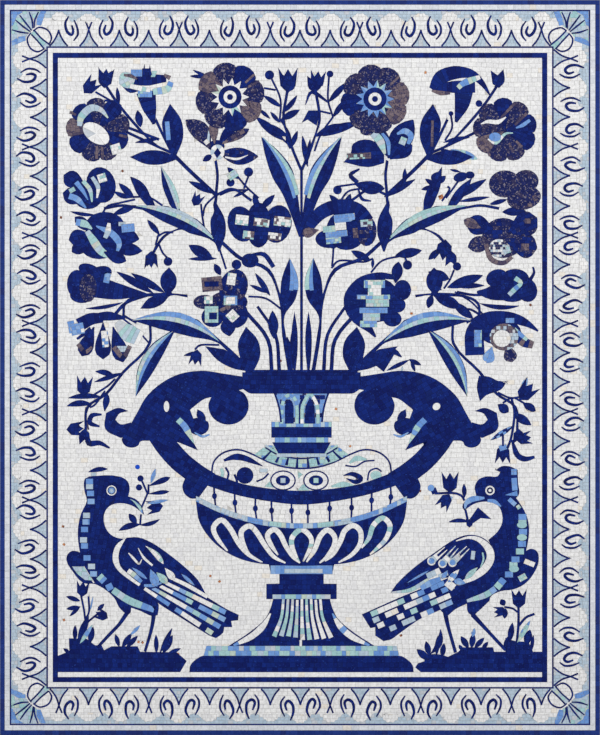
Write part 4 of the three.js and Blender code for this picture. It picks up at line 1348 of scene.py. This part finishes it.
for k, (start, end) in enumerate((((271, -431), (152, -490)), ((283, -437), (153, -505)),
                                  ((298, -441), (163, -519)), ((314, -442), (178, -532)))):
    stones = (MID, AQUA, WHITE, MID, COBALT) if k % 2 else (AQUA, WHITE, MID, WHITE)
    left_wing.append(line(left(start, end), [6.5, 9, 10], stones, 15))
left_wing.append(shape(-1, [(327, -431), (259, -425), (192, -458), (151, -483), (126, -495),
                            (127, -505), (141, -507), (139, -519), (155, -519), (157, -530),
                            (171, -541), (186, -535), (251, -494), (292, -467)], COBALT, 9, -0.55))

# the right wing's three looped feathers: white, with a dark slit and a blue eye
right_wing = []
for tip, eye in (((289, -362), (260, -387)), ((311, -359), (282, -392)), ((333, -360), (302, -390))):
    tip, eye = right(tip, eye)
    slit = Vector(eye).lerp(Vector(tip), 0.42)
    right_wing += [disc(eye, 5.6, MID, None, 0, 6), line([tip, slit], [5, 4], COBALT, 9),
                   line([tip, slit, eye], [8.5, 11.5, 14], (WHITE, PALE), 9), disc(eye, 8.6, WHITE, 9, 0, 6)]
right_wing += [
    line(right((344, -367), (342, -384)), 8, PALE, 9),
    line(right((362, -370), (364, -384), (358, -400)), [3, 4, 2], (WHITE, AQUA), 9),
    lance(*right((352, -400), (327, -423)), 11, (AQUA, PALE), 0.2),
    lance(*right((315, -404), (293, -429)), 13, (MID, WHITE), 0.3),
    lance(*right((292, -406), (281, -423)), 9, MID, 0.3),
    lance(*right((328, -432), (305, -426)), 14, MID, 0.3),
    lance(*right((211, -431), (255, -406)), 4.5, MID, 0.2),
    line(right((239, -442), (258, -431), (278, -423)), [9, 13, 9], MID, 11),
    line(right((251, -418), (277, -406)), 12, (PALE, WHITE), 10),
    line(right((180, -450), (218, -445), (255, -425), (293, -412)), [3, 8, 9, 7], (AQUA, PALE, WHITE), 10),
    line(right((290, -429), (305, -441)), 15, (WHITE, PALE), 9),
    line(right((309, -347), (334, -340), (356, -345), (374, -362), (378, -382), (366, -403), (343, -420),
               (319, -431)),
         [2, 5, 10, 15, 16, 15, 12, 6], WHITE, 11),
    shape(1, [(179, -450), (190, -434), (226, -400), (273, -366), (308, -343), (334, -335), (361, -340),
              (380, -357), (386, -381), (375, -406), (352, -425), (325, -434), (293, -420), (255, -429),
              (220, -448)], COBALT, 9, 0.6),
]
for k, (start, end) in enumerate((((299, -425), (139, -494)), ((305, -437), (143, -507)),
                                  ((311, -450), (152, -518)), ((314, -463), (164, -529)))):
    stones = (WHITE, MID, COBALT, PALE) if k % 2 else (COBALT, WHITE, AQUA, COBALT, MID)
    right_wing.append(line(right(start, end), [10, 10.5, 10.5], stones, 14))
right_wing.append(shape(1, [(305, -417), (202, -458), (121, -494), (138, -521), (148, -519), (148, -536),
                            (164, -547), (182, -542), (230, -507), (281, -478), (328, -441)],
                        COBALT, 9, 0.45))
mosaic("bird_wing_and_tail_left", left_wing)
mosaic("bird_wing_and_tail_right", right_wing)

# the bodies
left_eye, right_eye = left((380, -246))[0], right((377, -246))[0]
left_body = [
    disc(left_eye, 3.2, PALE), disc(left_eye, 6.2, MID, None, 0, 3), disc(left_eye, 7.6, COBALT),
    disc(left_eye, 10.2, WHITE, None, 0, 7),
    lance(*left((343, -263), (318, -292)), 6, (AQUA, MID), 0.5, 4),
] + chain(-1, ((424, -228), (424, -238), (422, -252), (421, -268), (430, -296), (431, -309), (434, -324),
               (436, -345), (434, -357), (429, -381), (420, -398), (416, -413)), 14, (MID, PALE, MID), 11)
left_body += [
    line(left((405, -417), (394, -428)), 15, (MID, AQUA), 9),
    line(left((390, -442), (378, -436)), 13, (AQUA, MID), 9),
    line(left((377, -445), (345, -466), (295, -485)), [13, 15, 11], (AQUA, PALE, AQUA, MID), 13),
    shape(-1, [(459, -398), (436, -398), (418, -426), (433, -425), (447, -414)], (AQUA, PALE), 9, 0,
          math.radians(30)),
    line(left((436, -398), (424, -417), (415, -431)), 2.6, WHITE, 12),
    shape(-1, [(432, -222), (409, -217), (362, -219), (348, -228), (344, -243), (347, -258), (333, -263),
               (322, -274), (315, -294), (325, -285), (339, -276), (362, -271), (381, -275), (391, -284),
               (396, -300), (392, -321), (381, -335), (365, -342), (345, -343), (321, -438), (292, -464),
               (286, -476), (288, -495), (298, -497), (321, -487), (341, -480), (343, -491),
               (350, -494), (365, -479), (374, -461), (412, -433), (436, -431), (458, -407), (470, -385),
               (467, -373), (458, -367), (443, -370), (447, -341), (446, -315), (440, -291), (429, -266),
               (433, -250), (435, -231)], COBALT, 9, 1.4, math.radians(62)),
    line(left((349, -491), (365, -514), (386, -536), (408, -560)), [8, 6, 6, 5], COBALT, 11),
    line(left((295, -492), (300, -523), (313, -568)), [8, 6, 5], COBALT, 11),
    lance(*left((426, -209), (388, -203)), 9, COBALT, 0.1, 2), patch(*left((416, -213)), 9, 8, PALE),
]
right_body = [
    disc(right_eye, 3, WHITE), disc(right_eye, 6, COBALT), disc(right_eye, 9.5, WHITE, None, 0, 7),
    line(right((327, -282), (330, -271), (343, -263), (366, -261)), [3, 11, 11, 4], MID, 10),
    line(right((372, -266), (386, -268), (399, -278)), [6, 8, 3], MID, 9),
    patch(*right((425, -209)), 11, 12, MID), line(right((425, -221), (427, -246)), 11, MID, 12),
    line(right((408, -255), (432, -252)), [1, 11], MID, 12),
    line(right((415, -263), (428, -275)), 9, MID, 8), patch(*right((434, -279)), 8, 8, AQUA, 0.6),
] + [disc(*right(spot), 10, AQUA, 6.5) for spot in ((441, -315), (441, -340), (425, -403))]
right_body += chain(1, ((442, -299), (442, -309), (443, -329), (441, -353), (437, -368), (428, -384),
                        (424, -395), (415, -414)), 16, (MID, AQUA, MID, MID, AQUA), 12)
right_body += [
    line(right((405, -423), (390, -441)), 14, (MID, AQUA, MID), 12),
    line(right((388, -442), (366, -456), (331, -467)), [12, 12, 6], (AQUA, PALE, MID), 12),
    line(right((446, -387), (466, -395)), 10, (WHITE, MID), 11),
    patch(*right((442, -420)), 16, 12, (AQUA, WHITE), 0.5, 6),
    shape(1, [(389, -205), (400, -198), (416, -198), (432, -205), (433, -232), (435, -253), (429, -261),
              (443, -282), (452, -303), (455, -325), (453, -347), (449, -367), (459, -363), (471, -368),
              (474, -387), (466, -409), (446, -433), (422, -444), (399, -447), (378, -458), (375, -467),
              (352, -489), (342, -497), (333, -489), (331, -472), (308, -483), (294, -495), (284, -491),
              (276, -483), (305, -454), (381, -370), (374, -345), (392, -329), (402, -309), (399, -285),
              (388, -271), (369, -268), (349, -271), (333, -280), (326, -286), (322, -278), (330, -266),
              (350, -257), (347, -238), (355, -224), (372, -218), (392, -218), (398, -209)],
          COBALT, 9, 1.7, math.radians(62)),
    line(right((287, -488), (293, -517), (308, -570)), [9, 6, 6], COBALT, 11),
    line(right((342, -494), (366, -520), (408, -565)), [9, 6, 6], COBALT, 11),
]
mosaic("bird_body_left", left_body)
mosaic("bird_body_right", right_body)

# ---------- The earth ----------
# A low strip of dark earth runs under each bird, with tufts of grass and one flowering plant at its
# outer end.
def bud(side, middle, size, turn, stones=COBALT):
    corners = ((0, -1), (0.62, -0.5), (0.8, 1), (0.36, 0.3), (0, 0.9), (-0.36, 0.3), (-0.8, 1), (-0.62, -0.5))
    outline = turned([(size * x, size * y) for x, y in corners], turn, middle)
    return block(on(side, outline), stones, 8, 9, side * turn)


def blade(side, foot, tip, width, stones=COBALT, bow=0.0):
    foot, tip = on(side, [foot, tip])
    return lance(foot, tip, width, stones, 0, side * bow)


def twig(side, *route, width=3.4):
    return line(on(side, route), width, COBALT, 11)


left_earth = [
    blade(-1, (443, -552), (418, -515), 9, (AQUA, MID)), blade(-1, (342, -535), (323, -516), 7, MID),
    bud(-1, (438, -443), 16, 0.1), blade(-1, (443, -467), (470, -458), 9),
    blade(-1, (443, -479), (470, -483), 9),
    bud(-1, (400, -495), 14, -1.1), blade(-1, (408, -486), (395, -473), 8),
    blade(-1, (443, -478), (463, -497), 7),
    twig(-1, (441, -456), (435, -485), (433, -502)), twig(-1, (426, -458), (425, -488), (433, -505)),
    twig(-1, (409, -494), (425, -507), (434, -517)), blade(-1, (423, -488), (417, -458), 3, MID),
    blade(-1, (447, -549), (426, -497), 14), blade(-1, (453, -547), (453, -516), 9),
    blade(-1, (424, -552), (417, -519), 12), blade(-1, (365, -558), (372, -534), 9),
    blade(-1, (359, -560), (340, -532), 11), blade(-1, (350, -560), (328, -537), 10),
    blade(-1, (290, -571), (291, -535), 9), blade(-1, (283, -571), (259, -522), 9),
    blade(-1, (277, -571), (258, -536), 14), blade(-1, (268, -573), (242, -562), 8),
    blade(-1, (462, -573), (476, -562), 7),
    shape(-1, [(492, -579), (480, -574), (464, -568), (465, -542), (430, -543), (413, -556), (400, -556),
               (395, -566), (380, -558), (328, -558), (323, -569), (250, -570), (230, -587), (243, -609),
               (492, -609)], COBALT, 9, 0, math.radians(20)),
]
right_earth = [
    blade(1, (432, -550), (457, -507), 10, (AQUA, MID)), blade(1, (342, -539), (346, -522), 8, MID),
    bud(1, (435, -463), 19, 0), block(on(1, [(425, -456), (439, -458), (433, -466)]), MID, 8),
    bud(1, (397, -488), 13, 1.7), blade(1, (406, -476), (399, -464), 12),
    blade(1, (408, -482), (406, -502), 11),
    twig(1, (406, -479), (422, -482), (432, -489)), twig(1, (434, -473), (434, -511), (431, -547), width=4.4),
    twig(1, (435, -516), (449, -500), (466, -493), width=4.4),
    blade(1, (416, -549), (422, -511), 12), blade(1, (449, -555), (457, -525), 16),
    blade(1, (459, -569), (464, -536), 7), blade(1, (258, -573), (278, -524), 12, COBALT, -8),
    blade(1, (270, -576), (273, -537), 9), blade(1, (256, -576), (249, -548), 12),
    blade(1, (255, -585), (231, -564), 14), blade(1, (281, -579), (285, -552), 11),
    blade(1, (334, -561), (319, -538), 12), blade(1, (340, -561), (344, -532), 12),
    blade(1, (346, -561), (365, -541), 10), blade(1, (322, -566), (315, -555), 7),
    blade(1, (361, -564), (373, -549), 8), blade(1, (410, -570), (413, -538), 14),
    shape(1, [(228, -600), (233, -592), (246, -588), (246, -574), (275, -574), (293, -579), (314, -569),
              (322, -560), (383, -560), (385, -569), (408, -569), (408, -541), (425, -547), (454, -549),
              (463, -569), (487, -569), (487, -610), (240, -610)], COBALT, 9, 0, math.radians(20)),
]
mosaic("earth_left", left_earth)
mosaic("earth_right", right_earth)

# ---------- The sprigs ----------
# Small twigs, buds, berries and flowers fill the gaps between the stems and hang from the birds'
# beaks. They are let into the white ground, and no two are quite alike.
BRIGHT = stone("bright blue smalti", (16, 70, 190), (24, 84, 204))
RUST = stone("rust-stained marble", (176, 104, 62), (196, 132, 88), (120, 70, 50), 0.3)


def berry(side, middle, radius):
    return disc(on(side, [middle])[0], radius, COBALT, None, 0, 3)


sprigs = [
    # the twigs in the birds' beaks
    twig(-1, (321, -294), (323, -315)), blade(-1, (323, -314), (365, -326), 12, COBALT, 3),
    blade(-1, (330, -312), (345, -293), 13),
    blade(-1, (323, -315), (284, -304), 8, COBALT, 3), twig(-1, (320, -280), (307, -250)),
    lance(*left((306, -237), (263, -220)), 11, COBALT, 0.6),
    lance(*left((306, -253), (265, -248)), 8, COBALT, 0.5),
    twig(-1, (306, -253), (306, -234)), blade(-1, (301, -231), (292, -203), 8, MID),
    twig(-1, (309, -250), (320, -225)),
    berry(-1, (322, -222), 6), berry(-1, (325, -240), 6), blade(-1, (309, -272), (267, -265), 7, MID),
    bud(-1, (294, -279), 17, -1.7), disc(*left((328, -199)), 4.5, BRIGHT),
    twig(1, (328, -285), (334, -312), width=4), blade(1, (336, -309), (295, -309), 8, COBALT, -3),
    bud(1, (336, -311), 9, 0),
    shape(1, [(337, -303), (353, -280), (379, -303), (358, -301), (342, -312)], COBALT, 8, 0, 0.5),
    line(right((326, -266), (319, -256), (302, -251), (267, -252)), 4, COBALT, 10),
    disc(*right((259, -241)), 6.5, MID),
    patch(*right((265, -247)), 11, 11, COBALT, 0.4), bud(1, (297, -230), 21, 0),
    block(right((297, -234), (300, -216), (306, -221)), MID, 8),
    blade(1, (326, -260), (325, -233), 9), bud(1, (287, -268), 17, 2.6),
    patch(*right((295, -262)), 12, 10, MID, -0.3),
    # high on the left
    bud(-1, (392, 579), 20, 0.1), bud(-1, (422, 563), 19, 0.75), twig(-1, (412, 551), (389, 538), (369, 526)),
    blade(-1, (365, 526), (369, 560), 8), blade(-1, (322, 481), (328, 514), 15),
    blade(-1, (284, 458), (332, 450), 8),
    twig(-1, (358, 484), (324, 471), (285, 456), width=5), twig(-1, (394, 534), (373, 532), (361, 523)),
    blade(-1, (178, 575), (217, 595), 7), blade(-1, (190, 581), (223, 583), 7),
    twig(-1, (194, 581), (171, 572), width=5),
    blade(-1, (173, 348), (225, 372), 13), bud(-1, (209, 336), 14, 0.5),
    twig(-1, (201, 327), (199, 306), (194, 276)),
    twig(-1, (171, 345), (192, 324), (197, 303)), blade(-1, (375, 352), (339, 341), 10, COBALT, 3),
    blade(-1, (335, 339), (365, 368), 13), blade(-1, (303, 341), (342, 381), 18),
    twig(-1, (343, 341), (305, 340), (278, 324)), twig(-1, (406, 276), (392, 319), (364, 329), (333, 336)),
    blade(-1, (412, 305), (462, 312), 7, COBALT, -2), blade(-1, (377, 306), (331, 324), 13),
    blade(-1, (284, 266), (308, 295), 11),
    twig(-1, (289, 261), (274, 270), (257, 270)), twig(-1, (286, 266), (292, 245)),
    twig(-1, (290, 245), (297, 228)),
    bud(-1, (301, 215), 17, 3.1), twig(-1, (286, 249), (278, 230), (267, 218)), berry(-1, (267, 212), 8.5),
    patch(*left((138, 385)), 20, 15, (AQUA, PALE), 0.6), blade(-1, (125, 377), (148, 400), 13),
    berry(-1, (142, 370), 8),
    berry(-1, (106, 391), 9), twig(-1, (106, 383), (111, 370), (115, 358)),
    twig(-1, (127, 381), (109, 360), (86, 339)),
    twig(-1, (163, 345), (140, 354), (107, 355)), blade(-1, (109, 354), (136, 341), 6),
    berry(-1, (64, 585), 9), twig(-1, (60, 578), (42, 536), (44, 490)), bud(-1, (27, 575), 24, 0),
    blade(-1, (40, 521), (76, 544), 10), blade(-1, (39, 509), (9, 544), 10, COBALT, 2),
    blade(-1, (41, 496), (4, 515), 14),
    blade(-1, (44, 490), (62, 511), 8), twig(-1, (75, 559), (52, 555)),
    twig(-1, (42, 496), (29, 475), (22, 452)),
    blade(-1, (35, 454), (91, 501), 17), blade(-1, (63, 498), (85, 517), 7),
    blade(-1, (23, 437), (29, 479), 11),
    blade(-1, (21, 440), (8, 473), 10), twig(-1, (37, 456), (21, 442)),
    # low on the left
    blade(-1, (178, 218), (225, 244), 22), blade(-1, (170, 218), (226, 217), 8),
    twig(-1, (167, 245), (159, 222), (151, 197)),
    berry(-1, (130, 206), 9.5), disc(*left((103, 214)), 17, COBALT, 14, 0, 4),
    line(left((102, 225), (75, 226), (56, 201)), [4, 9, 8], COBALT, 10),
    blade(-1, (63, 144), (92, 188), 11), blade(-1, (67, 149), (103, 165), 8),
    twig(-1, (106, 142), (71, 138), (37, 114)),
    blade(-1, (297, 149), (369, 191), 15), blade(-1, (274, 150), (340, 188), 15),
    twig(-1, (308, 145), (350, 130), (374, 105), width=6),
    blade(-1, (358, 130), (431, 118), 7, COBALT, -3), blade(-1, (55, 58), (58, 113), 20),
    blade(-1, (19, -8), (29, 61), 16),
    blade(-1, (19, 15), (12, 92), 14), bud(-1, (211, 20), 16, 3.3), blade(-1, (205, 31), (235, 24), 7),
    twig(-1, (213, 36), (201, 45), (165, 45)), bud(-1, (435, -37), 20, 0.1),
    blade(-1, (358, -11), (414, -29), 9),
    blade(-1, (373, -19), (412, -8), 11, COBALT, 3), twig(-1, (373, -23), (389, -38), (419, -57)),
    blade(-1, (400, -59), (466, -61), 11, COBALT, 3),
    blade(-1, (419, -74), (469, -77), 12, COBALT, 4), lance(*left((394, -87), (388, -53)), 13, COBALT, 0.3),
    twig(-1, (393, -47), (412, -73), (423, -80)),
    line(left((431, -80), (432, -99), (426, -124)), 3, BROWN, 8),
    line(left((400, -94), (419, -96), (423, -111), (404, -118)), [3, 9, 9, 3], COBALT, 9),
    bud(-1, (452, -123), 18, 1.5),
    line(left((429, -128), (425, -151), (404, -151), (384, -161)), [5, 12, 9, 3], COBALT, 9),
    # high on the right
    bud(1, (32, 575), 19, -0.1), block(right((24, 590), (37, 572), (32, 564)), AQUA, 8),
    berry(1, (57, 587), 6.5),
    twig(1, (55, 582), (53, 536), (63, 501)), blade(1, (54, 531), (90, 570), 12),
    line(right((8, 526), (21, 551), (54, 530)), [1, 8, 3], COBALT, 10),
    blade(1, (63, 501), (87, 535), 11), twig(1, (63, 501), (39, 467), (26, 433)),
    shape(1, [(1, 490), (14, 514), (37, 514), (30, 484), (12, 496)], COBALT),
    patch(*right((20, 505)), 12, 12, (PALE, AQUA), -0.5), twig(1, (36, 513), (58, 508)),
    blade(1, (43, 463), (114, 489), 17, COBALT, 3),
    blade(1, (12, 402), (2, 463), 11), blade(1, (13, 414), (17, 456), 8),
    lance(*right((106, 368), (166, 358)), 26, COBALT, 0.2, -3),
    line(right((116, 397), (98, 385), (112, 370)), [3, 8, 8], COBALT, 9),
    berry(1, (72, 355), 8.5), twig(1, (72, 362), (108, 367)), twig(1, (77, 332), (93, 352), (119, 358)),
    line(right((114, 356), (121, 337), (139, 333)), [3, 6, 2], COBALT, 9),
    blade(1, (206, 366), (207, 398), 9), blade(1, (165, 341), (227, 376), 13),
    blade(1, (265, 368), (273, 391), 20), blade(1, (265, 362), (240, 356), 9),
    blade(1, (267, 364), (248, 377), 9), blade(1, (267, 362), (265, 337), 13),
    blade(1, (272, 368), (288, 383), 12), twig(1, (292, 362), (296, 356), (281, 333)),
    patch(*right((279, 341)), 9, 8, RUST, 0.4),
    disc(*right((318, 381)), 14, COBALT, 9, 0.3, 3), disc(*right((337, 385)), 9, COBALT, 7, 0, 2),
    blade(1, (318, 391), (297, 396), 5),
    twig(1, (315, 375), (303, 358), (289, 339)), blade(1, (303, 337), (369, 376), 16),
    blade(1, (315, 332), (376, 341), 8),
    blade(1, (376, 326), (411, 336), 9), blade(1, (402, 311), (448, 313), 17), berry(1, (355, 528), 6.5),
    berry(1, (299, 508), 4.5),
    twig(1, (299, 504), (301, 479), (287, 454)), lance(*right((297, 436), (352, 417)), 16, (MID, AQUA), 0.2),
    blade(1, (276, 437), (315, 413), 11, COBALT, 3), blade(1, (284, 450), (336, 460), 8, COBALT, 2),
    # rust-stained chips in the ground
    *[patch(*left(spot), 4.5, 4, RUST, random.uniform(0, 3)) for spot in (
        (477, -318), (475, -354), (475, -505), (318, -550), (326, -549), (247, -573), (182, -417),
        (164, -428), (42, 13), (358, 393), (481, 300))],
    *[patch(*right(spot), 4.5, 4, RUST, random.uniform(0, 3)) for spot in (
        (199, -536), (237, -247), (220, 108), (458, 125), (248, 590), (69, -83), (97, -157))],
    # low on the right
    blade(1, (138, 214), (100, 233), 15), twig(1, (60, 199), (77, 214), (123, 211), (143, 218)),
    twig(1, (64, 245), (63, 222), (61, 203)),
    berry(1, (63, 248), 10), twig(1, (139, 190), (162, 214), (204, 224)),
    blade(1, (188, 224), (240, 234), 19), berry(1, (212, 205), 9),
    twig(1, (206, 222), (212, 209)), blade(1, (143, 218), (142, 199), 6), bud(1, (285, 234), 22, 3.0),
    blade(1, (278, 237), (254, 216), 13),
    berry(1, (311, 202), 8), twig(1, (305, 195), (297, 176), (285, 158)),
    lance(*right((254, 191), (295, 177)), 21, COBALT, 0.1),
    blade(1, (292, 160), (362, 184), 21), blade(1, (303, 163), (365, 164), 11),
    blade(1, (280, 155), (261, 164), 8),
    blade(1, (261, 145), (253, 119), 14), blade(1, (303, 130), (343, 98), 18),
    twig(1, (272, 145), (322, 119), (341, 115), (367, 98), width=4),
    twig(1, (311, 151), (345, 145), (380, 147), width=4.5),
    twig(1, (307, 151), (341, 130), (366, 102), width=3),
    blade(1, (357, 128), (435, 123), 9, COBALT, -5),
    line(right((154, 0), (181, 31), (200, 21)), [26, 20, 2], COBALT, 9),
    blade(1, (171, -6), (215, 15), 8), blade(1, (215, 16), (239, 5), 9), blade(1, (219, 14), (227, -8), 7),
    blade(1, (200, -9), (202, 2), 4, PALE),
    shape(1, [(355, -17), (376, -19), (393, -27), (411, -27), (399, -44), (370, -55), (357, -67),
              (351, -40)], COBALT, 9, 0, 0.6),
    twig(1, (393, -50), (418, -61), (445, -57)), bud(1, (450, -48), 22, -0.7),
    blade(1, (438, -52), (452, -19), 11, MID),
    lance(*right((393, -74), (414, -89)), 19, COBALT, 0.2), twig(1, (418, -61), (403, -71)),
    twig(1, (427, -61), (450, -74)),
    lance(*right((443, -71), (468, -87)), 16, COBALT, 0.2),
    twig(1, (420, -61), (426, -92), (420, -138), (412, -161), width=4.4),
    blade(1, (424, -92), (459, -115), 17), blade(1, (424, -117), (379, -145), 10, (COBALT, MID)),
    twig(1, (403, -134), (403, -157)),
    patch(*right((403, -160)), 15, 11, MID, 0.3), bud(1, (403, -173), 19, 3.1), bud(1, (445, -142), 16, -1.4),
    patch(*right((452, -142)), 8, 8, (AQUA, MID)),
    line(right((421, -145), (431, -174), (447, -183), (466, -179)), [3, 10, 11, 5], COBALT, 9),
]

# ---------- The white ground ----------
# White marble fills the field round every figure, in level rows that wave a little, as they were
# laid by eye.
ground_nodes = [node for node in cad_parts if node.startswith(("field_ground", "ground_"))]
ground = rectangle(field[0], field[1] + BASE_LINE, field[2], field[3])
mosaic("field_ground", sprigs + [block(ground, WHITE, 9.3, 12.7, 0, 1.6)], ground_nodes)

# ---------- The grout and the board ----------
# The tesserae are bedded in one skim of pale grout over a grey cement board. The board is plain
# and slightly rough, and its back lies flat on the wall.
CEMENT_ROUGHNESS = 0.85


# Fine mortar: its colour runs between two greys with its sand, which also roughens its face.
def cement_group():
    group = bpy.data.node_groups.new("cement", "ShaderNodeTree")
    for name, kind in (("Dark Colour", "NodeSocketColor"), ("Light Colour", "NodeSocketColor"),
                       ("Sand Scale", "NodeSocketFloat")):
        group.interface.new_socket(name, in_out="INPUT", socket_type=kind)
    for name, kind in (("Colour", "NodeSocketColor"), ("Normal", "NodeSocketVector")):
        group.interface.new_socket(name, in_out="OUTPUT", socket_type=kind)
    nodes, links = group.nodes, group.links
    given = nodes.new("NodeGroupInput")
    result = nodes.new("NodeGroupOutput")
    place = nodes.new("ShaderNodeTexCoord")
    sand = nodes.new("ShaderNodeTexNoise")
    sand.inputs["Detail"].default_value = 5
    links.new(place.outputs["Object"], sand.inputs["Vector"])
    links.new(given.outputs["Sand Scale"], sand.inputs["Scale"])
    share = nodes.new("ShaderNodeMapRange")
    share.inputs["From Min"].default_value = 0.3
    share.inputs["From Max"].default_value = 0.7
    links.new(sand.outputs["Fac"], share.inputs["Value"])
    blend = nodes.new("ShaderNodeMix")
    blend.data_type = "RGBA"
    links.new(share.outputs["Result"], blend.inputs["Factor"])
    links.new(given.outputs["Dark Colour"], blend.inputs["A"])
    links.new(given.outputs["Light Colour"], blend.inputs["B"])
    bump = nodes.new("ShaderNodeBump")
    bump.inputs["Strength"].default_value = 0.4
    bump.inputs["Distance"].default_value = 0.0005
    links.new(sand.outputs["Fac"], bump.inputs["Height"])
    links.new(blend.outputs["Result"], result.inputs["Colour"])
    links.new(bump.outputs["Normal"], result.inputs["Normal"])
    return group


cement = cement_group()


def cement_paint(name, dark, light, sand_scale):
    material = bpy.data.materials.new(name)
    material.use_nodes = True
    nodes, links = material.node_tree.nodes, material.node_tree.links
    shader = nodes["Principled BSDF"]
    shader.inputs["Roughness"].default_value = CEMENT_ROUGHNESS
    mortar = nodes.new("ShaderNodeGroup")
    mortar.node_tree = cement
    mortar.inputs["Dark Colour"].default_value = srgb(*dark)
    mortar.inputs["Light Colour"].default_value = srgb(*light)
    mortar.inputs["Sand Scale"].default_value = sand_scale
    links.new(mortar.outputs["Colour"], shader.inputs["Base Color"])
    links.new(mortar.outputs["Normal"], shader.inputs["Normal"])
    return material


BOARD_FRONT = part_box("backing_board")[0][1] * 1000
UNDER_BEDS = 0.1  # how far the grout's face lies behind the stained beds
GROUT_MARGIN = 0.6  # how far it stops short of the panel's edge
grout_low, grout_high = FRONT + BED_DEPTH + UNDER_BEDS, BOARD_FRONT
bpy.ops.mesh.primitive_cube_add(size=1, location=(0, 0, 0))
grout = bpy.context.object
grout.name = "grout_bed"
grout.scale = ((PANEL_WIDTH - 2 * GROUT_MARGIN) / 1000, (grout_high - grout_low) / 1000,
               (PANEL_HEIGHT - 2 * GROUT_MARGIN) / 1000)
grout.location = (0, (grout_low + grout_high) / 2000, 0)
bpy.ops.object.transform_apply(location=True, rotation=False, scale=True)
grout.data.materials.append(cement_paint("pale grout", (176, 174, 170), (200, 198, 194), 120))
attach(grout, "root")

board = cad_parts["backing_board"]
board.data.materials.clear()
board.data.materials.append(cement_paint("grey cement board", (132, 130, 126), (146, 144, 140), 90))
